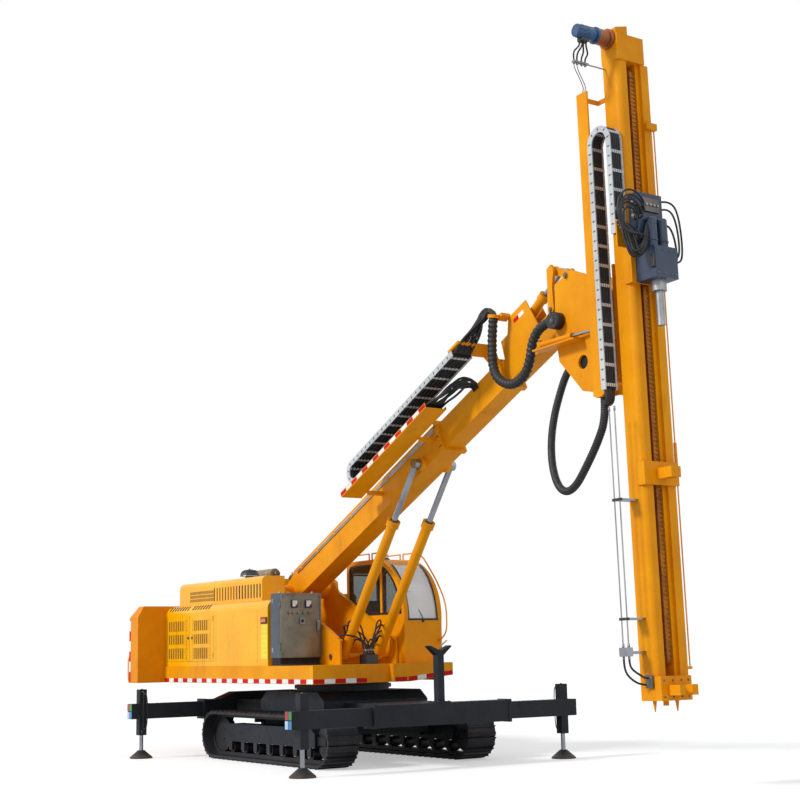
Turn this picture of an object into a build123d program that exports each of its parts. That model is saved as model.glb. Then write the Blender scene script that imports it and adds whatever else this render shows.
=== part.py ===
# Crawler anchor drilling rig: tracked carrier with outriggers, slewing platform with cab,
# telescopic boom, and a tall drilling mast with its power head on a feed chain.
# Millimetres. X runs forward towards the mast, Y to the cab side, Z up from the ground.
# Everything is placed from the slewing axis, and moved by slew_from_middle when it is written out.

import os
from math import atan2, cos, degrees, hypot, pi, radians, sin, sqrt, tan

from build123d import *

os.makedirs("parts", exist_ok=True)

# Overall placing
slew_from_middle = -1900.0
ground_z = 0.0

# Clearances
seat_gap = 0.3
slide_gap = 0.4
run_gap = 0.05
move_gap = 8.0

# Tracks
track_gauge = 2864.0
shoe_width = 600.0
track_length = 4730.0
track_height = 884.0
shoe_count = 54
shoe_plate = 30.0
grouser_height = 26.0
link_depth = 70.0
frame_width = 300.0
frame_length = 3300.0
frame_z = 330.0
frame_height = 320.0
roller_radius = 95.0
lower_rollers = 7
upper_rollers = 2
roller_width = 200.0
carrier_roller = 34.0
idler_width = 120.0

# Carrier body and slewing ring
body_length = 2300.0
track_body_gap = 32.0
body_width = track_gauge - shoe_width - 2 * track_body_gap
body_z = 480.0
body_top = 1230.0
ring_radius = 850.0
ring_bore = 640.0
deck_z = 1380.0

# Outriggers
pad_x = 3090.0
pad_y = 2650.0
housing_half = 1400.0
housing_width = 300.0
housing_z = 700.0
housing_height = 360.0
arm_width = 220.0
arm_height = 286.0
arm_inner_y = 1020.0
arm_end_y = 2888.0
jack_tube = 150.0
jack_tube_z = 430.0
jack_tube_top = 1290.0
jack_rod_radius = 38.0
jack_rod_top = 760.0
pad_radius = 215.0
pad_height = 150.0
pad_rim = 22.0
lamp_lens = 12.0

# Boom rest on the front beam
rest_post = 130.0
rest_top = 1880.0
rest_half = 240.0

# Platform
deck_front = 1440.0
deck_rear = -4630.0
deck_half = 1480.0
deck_height = 320.0
deck_plate = 40.0
skirt = 30.0
recess_y0 = -360.0
recess_y1 = 190.0
recess_depth = 130.0
taper_rise = 95.0
taper_y = 490.0

# Boom support and pins
support_y = 600.0
support_plate = 40.0
support_rear = -1920.0
foot_x = -1550.0
foot_z = 3100.0
foot_pin_radius = 60.0
ram_base_x = 620.0
ram_base_z = 1850.0
ram_pin_radius = 45.0

# Counterweight
weight_half = 2070.0
weight_depth = 510.0
weight_top = 2930.0

# Hoods and tank
hood_half = 1450.0
hood_front = -230.0
hood_split = -1950.0
hood_inner = 650.0
hood_top = 2900.0
hood_round = 170.0
hood_wall = 30.0
louvre_deep = 12.0
louvre_high = 26.0
louvre_pitch = 62.0
louvres_a_group = 4
seam = 8.0
slot_wide = 45.0
slot_pitch = 120.0
slot_count = 18
upper_half = 1150.0
upper_front = -1000.0
upper_top = 3380.0
upper_notch = 660.0
tank_front = -950.0
tank_top = 2860.0

# Engine
engine_length = 1500.0
engine_width = 900.0
engine_height = 1000.0
engine_x = -3350.0

# Control cabinet
cabinet_x0 = -60.0
cabinet_x1 = 320.0
cabinet_y0 = -1480.0
cabinet_y1 = -640.0
cabinet_z0 = 1840.0
cabinet_z1 = 2990.0
cabinet_wall = 20.0
cabinet_door = 22.0

# Cab
cab_rear = -850.0
cab_front = 1130.0
cab_y0 = 640.0
cab_y1 = 1470.0
cab_roof = 3640.0
cab_wall = 40.0
door_x0 = -60.0
door_x1 = 700.0
door_z0 = 1780.0
door_z1 = 3330.0
door_gap = 6.0

# Boom, along its own line from the foot pin
luff_rest = 24.4
boom_lift = 50.0
base_start = 260.0
base_end = 5700.0
base_half_width = 215.0
base_half_height = 265.0
box_wall = 14.0
section_step = 32.0
mid_start = 2600.0
mid_end = 7600.0
tip_start = 5600.0
tip_end = 9040.0
collar = 90.0
collar_out = 26.0

# Luffing rams
ram_y = 370.0
ram_eye_along = 5030.0
ram_eye_up = -120.0
ram_eye_width = 110.0
ram_inner_share = 0.40
ram_barrel_radius = 90.0
ram_rod_radius = 52.0
ram_barrel_length = 2900.0

# Drag chain tray beside the boom
tray_start = 3450.0
tray_end = 6380.0
tray_near = -930.0
tray_far = -510.0
tray_plate = 8.0
tray_top = 108.0

# Mast head hinge and linkage
tilt_x = 6945.0
tilt_z = 6780.0
tilt_pin_radius = 55.0
head_plate_y = 300.0
tilt_reach = 272.0
link_out = 240.0
link_in = 190.0
bar_out = 150.0
bar_in = 100.0
head_pin_radius = 40.0
sprocket_x = 8365.0
feed_chain_radius = 75.0
feed_chain_thick = 24.0
sprocket_low = 1700.0
sprocket_high = 10280.0
head_plate = 40.0
link_pin_x = 6650.0
link_pin_z = 7660.0
link_foot_x = 6640.0
link_foot_z = 7040.0
tilt_ram_base_along = 7800.0
tilt_ram_base_up = 500.0
tilt_ram_radius = 75.0
tilt_rod_radius = 42.0
tilt_ram_length = 1080.0
head_pin_x = 7130.0
head_pin_z = 7460.0

# Mast, upright before it is leaned back about the tilt pin
mast_lean = 1.19
mast_rear = 8190.0
mast_front = 8510.0
mast_near = -290.0
mast_far = 310.0
mast_foot = 1480.0
mast_head_z = 10420.0
column_inner = -120.0
channel_lip = -40.0
channel_wall = 95.0
feed_axis_x = 8760.0
swing_x = 7700.0
swing_pin_radius = 45.0
rail_half = 160.0
rail_stem = 70.0
rail_depth = 100.0
rail_flange = 45.0
rail_low = 4600.0
rail_high = 8500.0
carrier_low = 5700.0
carrier_high = 7400.0
swing_ram_z = 6465.0
swing_ram_base = (6620.0, -465.0)
swing_ram_eye = (7970.0, -370.0)
chain_near = -556.0
chain_far = -326.0
chain_left = 8035.0
chain_right = 8530.0
chain_thick = 95.0
chain_rail = 26.0
chain_inset = 18.0
chain_bar = 48.0
chain_pitch = 290.0

# Hoses: their routes are chosen by eye, in the rig's frame and in the upright mast's frame
arc_share = 0.45
boom_hose_radius = 78.0
boom_hose_y = -405.0
boom_hose_route = [
    (5411, 7134), (5372, 6894), (5352, 6600), (5362, 6332), (5500, 6105), (5828, 5965), (6146, 6048),
    (6306, 6288), (6365, 6560), (6560, 6765), (6795, 6790),
]
hub_radius = 130.0
mast_hose_radius = 60.0
mast_hose_route = [
    (7530, -20, 6240), (7250, -40, 6262), (6960, -70, 6200), (6764, -100, 6020), (6622, -120, 5750),
    (6492, -150, 5420), (6446, -200, 5038), (6487, -240, 4647), (6639, -280, 4320), (6847, -300, 4182),
    (7113, -330, 4242), (7400, -360, 4490), (7700, -385, 4800), (7920, -400, 5120), (7920, -400, 5430),
]


def box(x0, x1, y0, y1, z0, z1):
    """A box between two corners."""
    return Pos((x0 + x1) / 2, (y0 + y1) / 2, (z0 + z1) / 2) * Box(x1 - x0, y1 - y0, z1 - z0)


def slab_y(points, y0, y1):
    """A plate whose outline is a list of (x, z), from y0 to y1."""
    outline = Polyline(*[(x, y0, z) for x, z in points], close=True)
    return extrude(make_face(outline), amount=y1 - y0, dir=(0, 1, 0))


def slab_x(points, x0, x1):
    """A plate whose outline is a list of (y, z), from x0 to x1."""
    outline = Polyline(*[(x0, y, z) for y, z in points], close=True)
    return extrude(make_face(outline), amount=x1 - x0, dir=(1, 0, 0))


def slab_z(points, z0, z1):
    """A plate whose outline is a list of (x, y), from z0 to z1."""
    outline = Polyline(*[(x, y, z0) for x, y in points], close=True)
    return extrude(make_face(outline), amount=z1 - z0, dir=(0, 0, 1))


def rod(start, end, radius):
    """A round bar between two points."""
    line = Vector(*end) - Vector(*start)
    place = Plane(origin=start, z_dir=line)
    return place * Cylinder(radius, line.length, align=(Align.CENTER, Align.CENTER, Align.MIN))


def rod_y(x, z, y0, y1, radius):
    """A round bar along Y."""
    return rod((x, y0, z), (x, y1, z), radius)


def tube(points, radius):
    """A round tube along straight runs joined by tangent arcs, the arcs' radii and its length."""
    radii = []
    for before, point, after in zip(points, points[1:], points[2:]):
        run_in = Vector(*point) - Vector(*before)
        run_out = Vector(*after) - Vector(*point)
        turn = radians(run_in.get_angle(run_out))
        radii.append(arc_share * min(run_in.length, run_out.length) / tan(turn / 2))
    path = FilletPolyline(*points, radius=radii)
    section = Plane(origin=path @ 0, z_dir=path % 0) * Circle(radius)
    return sweep(section, path=path), radii, path.length


def both_sides(shape):
    """The shape and its mirror image across the middle plane."""
    return shape + mirror(shape, about=Plane.XZ)


boom_place = Pos(foot_x, 0, foot_z) * Rot(0, -luff_rest, 0)
mast_place = Pos(tilt_x, 0, tilt_z) * Rot(0, -mast_lean, 0) * Pos(-tilt_x, 0, -tilt_z)


def boom_point(along, up, y=0.0):
    """A point of the boom's own frame, in the rig's frame."""
    turn = radians(luff_rest)
    x = foot_x + along * cos(turn) - up * sin(turn)
    z = foot_z + along * sin(turn) + up * cos(turn)
    return (x, y, z)


def mast_point(x, y, z):
    """A point of the upright mast, after the mast is leaned back."""
    turn = radians(mast_lean)
    dx, dz = x - tilt_x, z - tilt_z
    return (tilt_x + dx * cos(turn) - dz * sin(turn), y, tilt_z + dx * sin(turn) + dz * cos(turn))


def write(node, *shapes):
    """One sub-part to its own file, moved so that the origin is under the rig's middle."""
    moved = [Pos(slew_from_middle, 0, 0) * solid for shape in shapes for solid in shape.solids()]
    export_step(moved[0] if len(moved) == 1 else Compound(children=moved), f"parts/{node}.step")


# Track loop

wheel_radius = track_height / 2 - shoe_plate - grouser_height
half_straight = track_length / 2 - track_height / 2
loop_straight = 2 * half_straight
loop_arc = pi * wheel_radius
loop_length = 2 * (loop_straight + loop_arc)
wheel_z = track_height / 2


def loop_point(travel, out):
    """A point at a travel along the shoes' seat line, and out from it, as (x, z)."""
    travel = travel % loop_length
    radius = wheel_radius + out
    if travel < loop_straight:
        return (-half_straight + travel, wheel_z + radius)
    travel -= loop_straight
    if travel < loop_arc:
        turn = travel / wheel_radius
        return (half_straight + radius * sin(turn), wheel_z + radius * cos(turn))
    travel -= loop_arc
    if travel < loop_straight:
        return (half_straight - travel, wheel_z - radius)
    turn = (travel - loop_straight) / wheel_radius
    return (-half_straight - radius * sin(turn), wheel_z - radius * cos(turn))


# One shoe's outer edge: share of the shoe's pitch, height above the seat line
shoe_profile = [
    (0.02, shoe_plate * 0.1),
    (0.05, shoe_plate + grouser_height),
    (0.14, shoe_plate + grouser_height),
    (0.18, shoe_plate),
    (0.58, shoe_plate),
    (0.63, shoe_plate + grouser_height * 0.8),
    (0.98, shoe_plate * 0.9),
]


def track_loop(side):
    """The closed belt of shoes, with its grousers in the outline and the links inside."""
    pitch = loop_length / shoe_count
    y_mid = side * track_gauge / 2
    y0, y1 = y_mid - shoe_width / 2, y_mid + shoe_width / 2
    outer = []
    for shoe in range(shoe_count):
        outer += [loop_point((shoe + share) * pitch, out) for share, out in shoe_profile]
    belt = slab_y(outer, y0, y1)
    inner_radius = wheel_radius - link_depth * 0.15
    hole = box(-half_straight, half_straight, y0 - 10, y1 + 10, wheel_z - inner_radius, wheel_z + inner_radius)
    for end in (-half_straight, half_straight):
        hole += rod_y(end, wheel_z, y0 - 10, y1 + 10, inner_radius)
    links_out = box(-half_straight, half_straight, y_mid - 90, y_mid + 90, wheel_z - wheel_radius, wheel_z + wheel_radius)
    inner_link = wheel_radius - link_depth
    links_in = box(-half_straight, half_straight, y_mid - 100, y_mid + 100, wheel_z - inner_link, wheel_z + inner_link)
    for end in (-half_straight, half_straight):
        links_out += rod_y(end, wheel_z, y_mid - 90, y_mid + 90, wheel_radius)
        links_in += rod_y(end, wheel_z, y_mid - 100, y_mid + 100, inner_link)
    return belt - hole + (links_out - links_in)


def track_frame(side):
    """The side frame that carries the rollers, with its cross beams to the carrier."""
    y_mid = side * track_gauge / 2
    y0, y1 = y_mid - frame_width / 2, y_mid + frame_width / 2
    half = frame_length / 2
    top = frame_z + frame_height
    outline = [
        (-half, frame_z), (half, frame_z), (half, top - 90), (half - 150, top),
        (-half + 150, top), (-half, top - 90),
    ]
    frame = slab_y(outline, y0, y1)
    reach = body_width / 2 + seat_gap
    for x in (-650, 650):
        beam = box(x - 220, x + 220, min(side * reach, y_mid), max(side * reach, y_mid), 400, top - 20)
        frame += beam
    fork_y = idler_width / 2 + 25
    for end in (-1, 1):
        for face in (-1, 1):
            cheek = box(
                min(end * half, end * half_straight), max(end * half, end * half_straight),
                y_mid + face * fork_y - 12, y_mid + face * fork_y + 12,
                wheel_z - 70, wheel_z + 70,
            )
            frame += cheek
    slot = rod_y(half_straight, wheel_z, y_mid - fork_y + 12, y_mid + fork_y - 12, wheel_radius - link_depth + 20)
    return frame - slot - mirror(slot, about=Plane.YZ)


def running_gear(side):
    """Sprocket, idler, lower rollers and carrier rollers of one track."""
    y_mid = side * track_gauge / 2
    inner_link = wheel_radius - link_depth
    hub_half = idler_width / 2 + 13 - slide_gap
    gear = None
    for end in (-half_straight, half_straight):
        rim = rod_y(end, wheel_z, y_mid - idler_width / 2, y_mid + idler_width / 2, inner_link - slide_gap)
        hub = rod_y(end, wheel_z, y_mid - hub_half, y_mid + hub_half, 120)
        wheel = rim + hub
        gear = wheel if gear is None else gear + wheel
    floor_z = wheel_z - inner_link
    spacing = (frame_length - 400) / (lower_rollers - 1)
    for number in range(lower_rollers):
        x = -frame_length / 2 + 200 + number * spacing
        z = floor_z + roller_radius + slide_gap
        roller = rod_y(x, z, y_mid - roller_width / 2, y_mid + roller_width / 2, roller_radius)
        axle = rod_y(x, z, y_mid - frame_width / 2, y_mid + frame_width / 2, 35)
        for face in (-1, 1):
            y = y_mid + face * (frame_width / 2 - 20)
            axle += box(x - 60, x + 60, y - 20, y + 20, z - 45, frame_z - seat_gap)
        gear += roller + axle
    ceiling_z = wheel_z + inner_link
    for number in range(upper_rollers):
        x = (number - (upper_rollers - 1) / 2) * 1250
        z = ceiling_z - carrier_roller - slide_gap
        roller = rod_y(x, z, y_mid - 70, y_mid + 110, carrier_roller)
        bracket = box(x - 45, x + 45, y_mid + 80, y_mid + 110, frame_z + frame_height + seat_gap, z)
        gear += roller + bracket
    return gear


def carrier_body():
    """The middle box, its ring seat and the long beams out to the outrigger housings."""
    half_x, half_y = body_length / 2, body_width / 2
    outline = [
        (-half_x, body_z), (half_x, body_z), (half_x, body_top - 160), (half_x - 220, body_top),
        (-half_x + 220, body_top), (-half_x, body_top - 160),
    ]
    body = slab_y(outline, -half_y, half_y)
    beam_end = pad_x - housing_width / 2 - seat_gap
    for end in (-1, 1):
        for y in (-520, 520):
            x0, x1 = sorted((end * (half_x - 50), end * beam_end))
            body += box(x0, x1, y - 160, y + 160, 700, 1040)
        x0, x1 = sorted((end * (half_x - 50), end * beam_end))
        body += box(x0, x1, -520, 520, 1000, 1040)
    return body


def ring():
    """The slewing ring between the carrier and the platform."""
    outer = rod((0, 0, body_top + seat_gap), (0, 0, deck_z - slide_gap), ring_radius)
    teeth = rod((0, 0, body_top + 45), (0, 0, body_top + 110), ring_radius + 45)
    bore = rod((0, 0, body_top - 10), (0, 0, deck_z + 10), ring_bore)
    return outer + teeth - bore


def outrigger_housing(end):
    """A cross beam that holds two sliding arms, open at both ends."""
    x_mid = end * pad_x
    x0, x1 = x_mid - housing_width / 2, x_mid + housing_width / 2
    z0, z1 = housing_z, housing_z + housing_height
    beam = box(x0, x1, -housing_half, housing_half, z0, z1)
    if end < 0:
        beam += slab_x([(-1050, z1), (1050, z1), (700, z1 + 130), (-700, z1 + 130)], x0, x1)
    hollow_x = arm_width / 2 + slide_gap
    arm_z = z0 + (housing_height - arm_height) / 2
    hollow = box(
        x_mid - hollow_x, x_mid + hollow_x, -housing_half - 10, housing_half + 10,
        arm_z - slide_gap, arm_z + arm_height + slide_gap,
    )
    rib = box(x0, x1, -6, 6, z0, z1)
    beam = beam - hollow + rib
    for face in (-1, 1):
        lip_y0, lip_y1 = sorted((face * (housing_half - 60), face * housing_half))
        lip = box(x0 - 12, x1 + 12, lip_y0, lip_y1, z0 - 12, z1 + 12)
        beam += lip - hollow
    return beam


def outrigger_arm(end, side):
    """A sliding arm with its upright jack tube near the outer end."""
    x_mid = end * pad_x
    arm_z = housing_z + (housing_height - arm_height) / 2
    y0, y1 = sorted((side * arm_inner_y, side * arm_end_y))
    arm = box(x_mid - arm_width / 2, x_mid + arm_width / 2, y0, y1, arm_z, arm_z + arm_height)
    lens_y = side * (arm_end_y + lamp_lens)
    lens_y0, lens_y1 = sorted((side * (arm_end_y - 1), lens_y))
    for x in (x_mid - arm_width / 4, x_mid + arm_width / 4):
        for z in (arm_z + arm_height / 4, arm_z + arm_height * 3 / 4):
            arm += box(x - 46, x + 46, lens_y0, lens_y1, z - 62, z + 62)
    half = jack_tube / 2
    y_mid = side * pad_y
    tube = box(x_mid - half, x_mid + half, y_mid - half, y_mid + half, jack_tube_z, jack_tube_top)
    bore = rod((x_mid, y_mid, jack_tube_z - 10), (x_mid, y_mid, jack_tube_top - 20), jack_rod_radius + run_gap)
    return arm + tube - bore


def jack_leg(end, side):
    """The jack's rod and its round foot pad."""
    x, y = end * pad_x, side * pad_y
    leg = rod((x, y, pad_height - 30), (x, y, jack_rod_top), jack_rod_radius)
    disc = rod((x, y, ground_z), (x, y, pad_rim), pad_radius)
    cone = Pos(x, y, pad_rim + (pad_height - pad_rim) / 2) * Cone(pad_radius, 62, pad_height - pad_rim)
    return leg + disc + cone


def boom_rest():
    """The post and its fork on the front beam, where the lowered boom lies."""
    z0 = housing_z + housing_height + seat_gap
    half = rest_post / 2
    post = box(pad_x - half, pad_x + half, -half, half, z0 + 20, rest_top)
    foot = box(pad_x - 140, pad_x + 140, -140, 140, z0, z0 + 20)
    fork = [
        (-rest_half, rest_top + 110), (-rest_half + 40, rest_top + 120), (0, rest_top + 30),
        (rest_half - 40, rest_top + 120), (rest_half, rest_top + 110), (70, rest_top - 40), (-70, rest_top - 40),
    ]
    return post + foot + slab_x(fork, pad_x - half, pad_x + half)


# Platform and what stands on it

deck_top = deck_z + deck_height


def platform():
    """The deck plate with its skirts, girders and the plate over the slewing ring."""
    z0, z1 = deck_z, deck_top
    plate_z = z1 - deck_plate
    deck = box(deck_rear, deck_front - recess_depth, -deck_half, deck_half, plate_z, z1)
    deck += box(deck_front - recess_depth - 1, deck_front, -deck_half, recess_y0, plate_z, z1)
    deck += box(deck_front - recess_depth - 1, deck_front, recess_y1, deck_half, plate_z, z1)
    for side in (-1, 1):
        y0, y1 = sorted((side * deck_half, side * (deck_half - skirt)))
        deck += box(deck_rear, deck_front, y0, y1, z0, z1)
        y0, y1 = sorted((side * (support_y - 20), side * (support_y + 20)))
        deck += box(deck_rear, deck_front - recess_depth, y0, y1, z0, z1)
    deck += box(deck_front - skirt, deck_front, -deck_half, recess_y0, z0, z1)
    deck += box(deck_front - skirt, deck_front, recess_y1, deck_half, z0, z1)
    deck += box(deck_front - recess_depth - skirt, deck_front - recess_depth, recess_y0, recess_y1, z0, z1)
    for y in (recess_y0, recess_y1):
        deck += box(deck_front - recess_depth - skirt, deck_front, y - 15, y + 15, z0, z1)
    deck += box(deck_rear, deck_rear + skirt, -deck_half, deck_half, z0, z1)
    deck += box(-1100, 1100, -support_y, support_y, z0, z0 + 30)
    wedge = slab_x([(taper_y, z0 - 5), (deck_half + 5, z0 - 5), (deck_half + 5, z0 + taper_rise)], deck_front - 400, deck_front + 5)
    bore = rod((0, 0, z0 - 10), (0, 0, z1 + 10), ring_bore - 200)
    return deck - wedge - bore


def boom_support():
    """Two side plates that carry the boom's foot pin and the luffing rams' pin."""
    z0 = deck_top + seat_gap
    outline = [
        (support_rear, z0), (920, z0), (920, 2110), (-1060, 3060), (-1300, 3330), (-1750, 3330),
        (support_rear, 2900),
    ]
    inner = support_y - support_plate / 2
    outer = support_y + support_plate / 2
    plates = both_sides(slab_y(outline, inner, outer))
    pins = rod_y(foot_x, foot_z, -outer - 30, outer + 30, foot_pin_radius)
    pins += rod_y(ram_base_x, ram_base_z, -outer - 8, outer + 8, ram_pin_radius)
    web = box(support_rear, support_rear + 40, -inner, inner, z0, 2650)
    web += box(support_rear, 300, -inner, inner, z0, z0 + 30)
    flange_low, flange_high = (920, 2110), (-1060, 3060)
    slope = atan2(flange_high[1] - flange_low[1], flange_low[0] - flange_high[0])
    lift_x, lift_z = 22 * sin(slope), 22 * cos(slope)
    flange = [
        flange_low, flange_high,
        (flange_high[0] + lift_x, flange_high[1] + lift_z),
        (flange_low[0] + lift_x, flange_low[1] + lift_z),
    ]
    flanges = both_sides(slab_y(flange, inner - 30, outer))
    return plates + pins + web + flanges


def counterweight():
    """The cast weight across the rear, wider than the hood, with sloped upper edges."""
    x0 = deck_rear - seat_gap
    rear = x0 - weight_depth
    outline = [
        (x0, deck_z), (rear + 60, deck_z), (rear, deck_z + 90), (rear, deck_z + 480), (rear + 70, deck_z + 540),
        (rear + 70, weight_top - 260), (rear + 260, weight_top), (x0, weight_top),
    ]
    weight = slab_y(outline, -weight_half, weight_half)
    for side in (-1, 1):
        corner = slab_x(
            [
                (side * (weight_half + 5), weight_top + 5), (side * (weight_half + 5), weight_top - 230),
                (side * (weight_half - 130), weight_top + 5),
            ],
            rear - 10, x0 + 10,
        )
        weight -= corner
    return weight


def hood_block(x0, x1, y0, y1, z0, z1, round_y0, round_y1, radius):
    """A box with one or both long top edges rounded."""
    block = box(x0, x1, y0, y1, z0, z1)
    top = block.edges().filter_by(Axis.X).group_by(Axis.Z)[-1]
    chosen = []
    for edge in top:
        y = edge.center().Y
        if (round_y0 and abs(y - y0) < 1) or (round_y1 and abs(y - y1) < 1):
            chosen.append(edge)
    return fillet(chosen, radius)


# Louvre groups on the hood's sides: columns as (rear x, front x), rows as the lowest slot's z
louvre_columns = ((-4380.0, -3580.0), (-3380.0, -2560.0))
louvre_rows = (1840.0, 2120.0, 2400.0)
hood_seam_x = -2330.0
arm_seam_x = -640.0


def engine_hood():
    """The lower hood: full width round the engine, and a narrower arm beside the boom foot."""
    z0 = deck_top + seat_gap
    x0 = deck_rear + seat_gap
    wall = hood_wall
    rear = hood_block(x0, hood_split, -hood_half, hood_half, z0, hood_top, True, True, hood_round)
    arm = hood_block(hood_split - 1, hood_front, -hood_half, -hood_inner, z0, hood_top, True, False, hood_round)
    rear_in = hood_block(
        x0 + wall, hood_split - wall, -hood_half + wall, hood_half - wall, z0 - 5, hood_top - wall,
        True, True, hood_round - wall,
    )
    arm_in = hood_block(
        hood_split - wall - 1, hood_front - wall, -hood_half + wall, -hood_inner - wall, z0 - 5, hood_top - wall,
        True, False, hood_round - wall,
    )
    hood = rear + arm - rear_in - arm_in
    for side in (-1, 1):
        y0, y1 = sorted((side * (hood_half - louvre_deep), side * (hood_half + 5)))
        for louvre_x0, louvre_x1 in louvre_columns:
            for row_z in louvre_rows:
                for number in range(louvres_a_group):
                    z = row_z + number * louvre_pitch
                    hood -= box(louvre_x0, louvre_x1, y0, y1, z, z + louvre_high)
        y0, y1 = sorted((side * (hood_half - seam), side * (hood_half + 5)))
        hood -= box(hood_seam_x, hood_seam_x + seam, y0, y1, z0 + 60, hood_top - hood_round)
    y0, y1 = -hood_half - 5, -hood_half + seam
    hood -= box(arm_seam_x, arm_seam_x + seam, y0, y1, z0 + 60, hood_top - hood_round)
    return hood


def upper_hood():
    """The raised hood with its notch beside the boom foot."""
    z0 = hood_top + seat_gap
    x0 = deck_rear + 30
    wall = hood_wall
    top = hood_block(x0, upper_front, -upper_half, upper_half, z0, upper_top, True, True, 110)
    top -= box(hood_split - 60, upper_front + 10, -upper_notch, upper_half + 10, z0 - 10, upper_top + 10)
    hollow = box(x0 + wall, hood_split - 60 - wall, -upper_half + 120, upper_half - 120, z0 - 5, upper_top - wall)
    top -= hollow
    for number in range(slot_count):
        x = x0 + 500 + number * slot_pitch
        top -= box(x, x + slot_wide, -upper_half - 5, -upper_half + louvre_deep, z0 + 70, upper_top - 150)
    return top


def engine():
    """The engine as one block at its real size and place."""
    z0 = deck_top + seat_gap
    half_x, half_y = engine_length / 2, engine_width / 2
    block = box(engine_x - half_x, engine_x + half_x, -half_y, half_y, z0, z0 + engine_height)
    return block


def air_cleaner():
    """The intake's mushroom cap and the silencer lying beside it on the upper hood."""
    z0 = upper_top + seat_gap
    neck = rod((-2500, -620, z0), (-2500, -620, z0 + 70), 90)
    cap = Pos(-2500, -620, z0 + 70) * Cylinder(190, 60, align=(Align.CENTER, Align.CENTER, Align.MIN))
    cap = fillet(cap.edges().filter_by(GeomType.CIRCLE).sort_by(Axis.Z)[-1], 50)
    body = rod((-3300, -150, z0 + 110), (-2300, -150, z0 + 110), 110)
    saddle = box(-3150, -2450, -190, -110, z0, z0 + 40)
    return [neck + cap, body + saddle]


def hydraulic_tank():
    """The tank behind the cab, with its round filler dome."""
    z0 = deck_top + seat_gap
    body = box(hood_split + seat_gap + 20, tank_front, hood_inner, hood_half, z0, tank_top)
    body = fillet(body.edges().filter_by(Axis.X).group_by(Axis.Z)[-1], 60)
    dome = rod((-1400, 1000, tank_top - 1), (-1400, 1000, tank_top + 200), 170)
    dome = fillet(dome.edges().filter_by(GeomType.CIRCLE).sort_by(Axis.Z)[-1], 70)
    return body + dome


def control_cabinet():
    """The stainless cabinet's case, open to the front, on its dark plinth."""
    wall = cabinet_wall
    case = box(cabinet_x0, cabinet_x1 - cabinet_door - move_gap, cabinet_y0, cabinet_y1, cabinet_z0, cabinet_z1)
    inside = box(
        cabinet_x0 + wall, cabinet_x1, cabinet_y0 + wall, cabinet_y1 - wall,
        cabinet_z0 + wall, cabinet_z1 - wall,
    )
    plinth = box(cabinet_x0 + 20, cabinet_x1 - 60, cabinet_y0 + 20, cabinet_y1 - 20, deck_top + seat_gap, cabinet_z0)
    back = box(cabinet_x0 + wall, cabinet_x0 + wall + 60, cabinet_y0 + 120, cabinet_y1 - 120, cabinet_z0 + 200, cabinet_z1 - 200)
    case = case - inside + plinth + back
    x, y = cabinet_hinge_x, cabinet_hinge_y
    for piece in hinge_pins(x, y, cabinet_hinge_z):
        case += piece
    for piece in hinge_lugs(x - 45, x, y - 8, y + 9, cabinet_hinge_z):
        case += piece
    for piece in hinge_lugs(x - 45, x - 20, y - 8, y + hinge_out + 1, cabinet_hinge_z):
        case += piece
    return case


hinge_pin = 4.0
hinge_sleeve = 9.0
hinge_out = 12.0
sleeve_length = 80.0
cabinet_hinge_x = cabinet_x1 - 15.0
cabinet_hinge_y = cabinet_y0 - hinge_out
cabinet_hinge_z = (2000.0, 2750.0)
cab_hinge_x = door_x0 - 10.0
cab_hinge_y = cab_y1 + hinge_out
cab_hinge_z = (1950.0, 3100.0)


def hinge_pins(x, y, heights):
    """The fixed half of a door's hinges: a pin with a round lug at each end."""
    pins = []
    for z in heights:
        pin = rod((x, y, z - 20), (x, y, z + sleeve_length + 20), hinge_pin)
        for z0 in (z - 20, z + sleeve_length + slide_gap):
            pin += rod((x, y, z0), (x, y, z0 + 20 - slide_gap), hinge_sleeve)
        pins.append(pin)
    return pins


def hinge_sleeves(x, y, heights):
    """The moving half of a door's hinges, and the bores they turn on."""
    sleeves = [rod((x, y, z), (x, y, z + sleeve_length), hinge_sleeve) for z in heights]
    bores = [rod((x, y, z - 1), (x, y, z + sleeve_length + 1), hinge_pin + run_gap) for z in heights]
    return sleeves, bores


def hinge_lugs(x0, x1, y0, y1, heights):
    """Blocks that carry the hinge pins' ends."""
    lugs = []
    for z in heights:
        for z0 in (z - 20, z + sleeve_length + slide_gap):
            lugs.append(box(x0, x1, y0, y1, z0, z0 + 20 - slide_gap))
    return lugs


def cabinet_panel():
    """The cabinet's door, hinged at its outer edge."""
    door = box(cabinet_x1 - cabinet_door, cabinet_x1, cabinet_y0, cabinet_y1, cabinet_z0, cabinet_z1)
    handle = box(cabinet_x1, cabinet_x1 + 22, cabinet_y1 - 90, cabinet_y1 - 66, 2300, 2430)
    door += handle
    x, y = cabinet_hinge_x, cabinet_hinge_y
    sleeves, bores = hinge_sleeves(x, y, cabinet_hinge_z)
    for z, sleeve, bore in zip(cabinet_hinge_z, sleeves, bores):
        door += sleeve + box(x, x + 15, y, y + hinge_out + 1, z, z + sleeve_length)
        door -= bore
    return door


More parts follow.
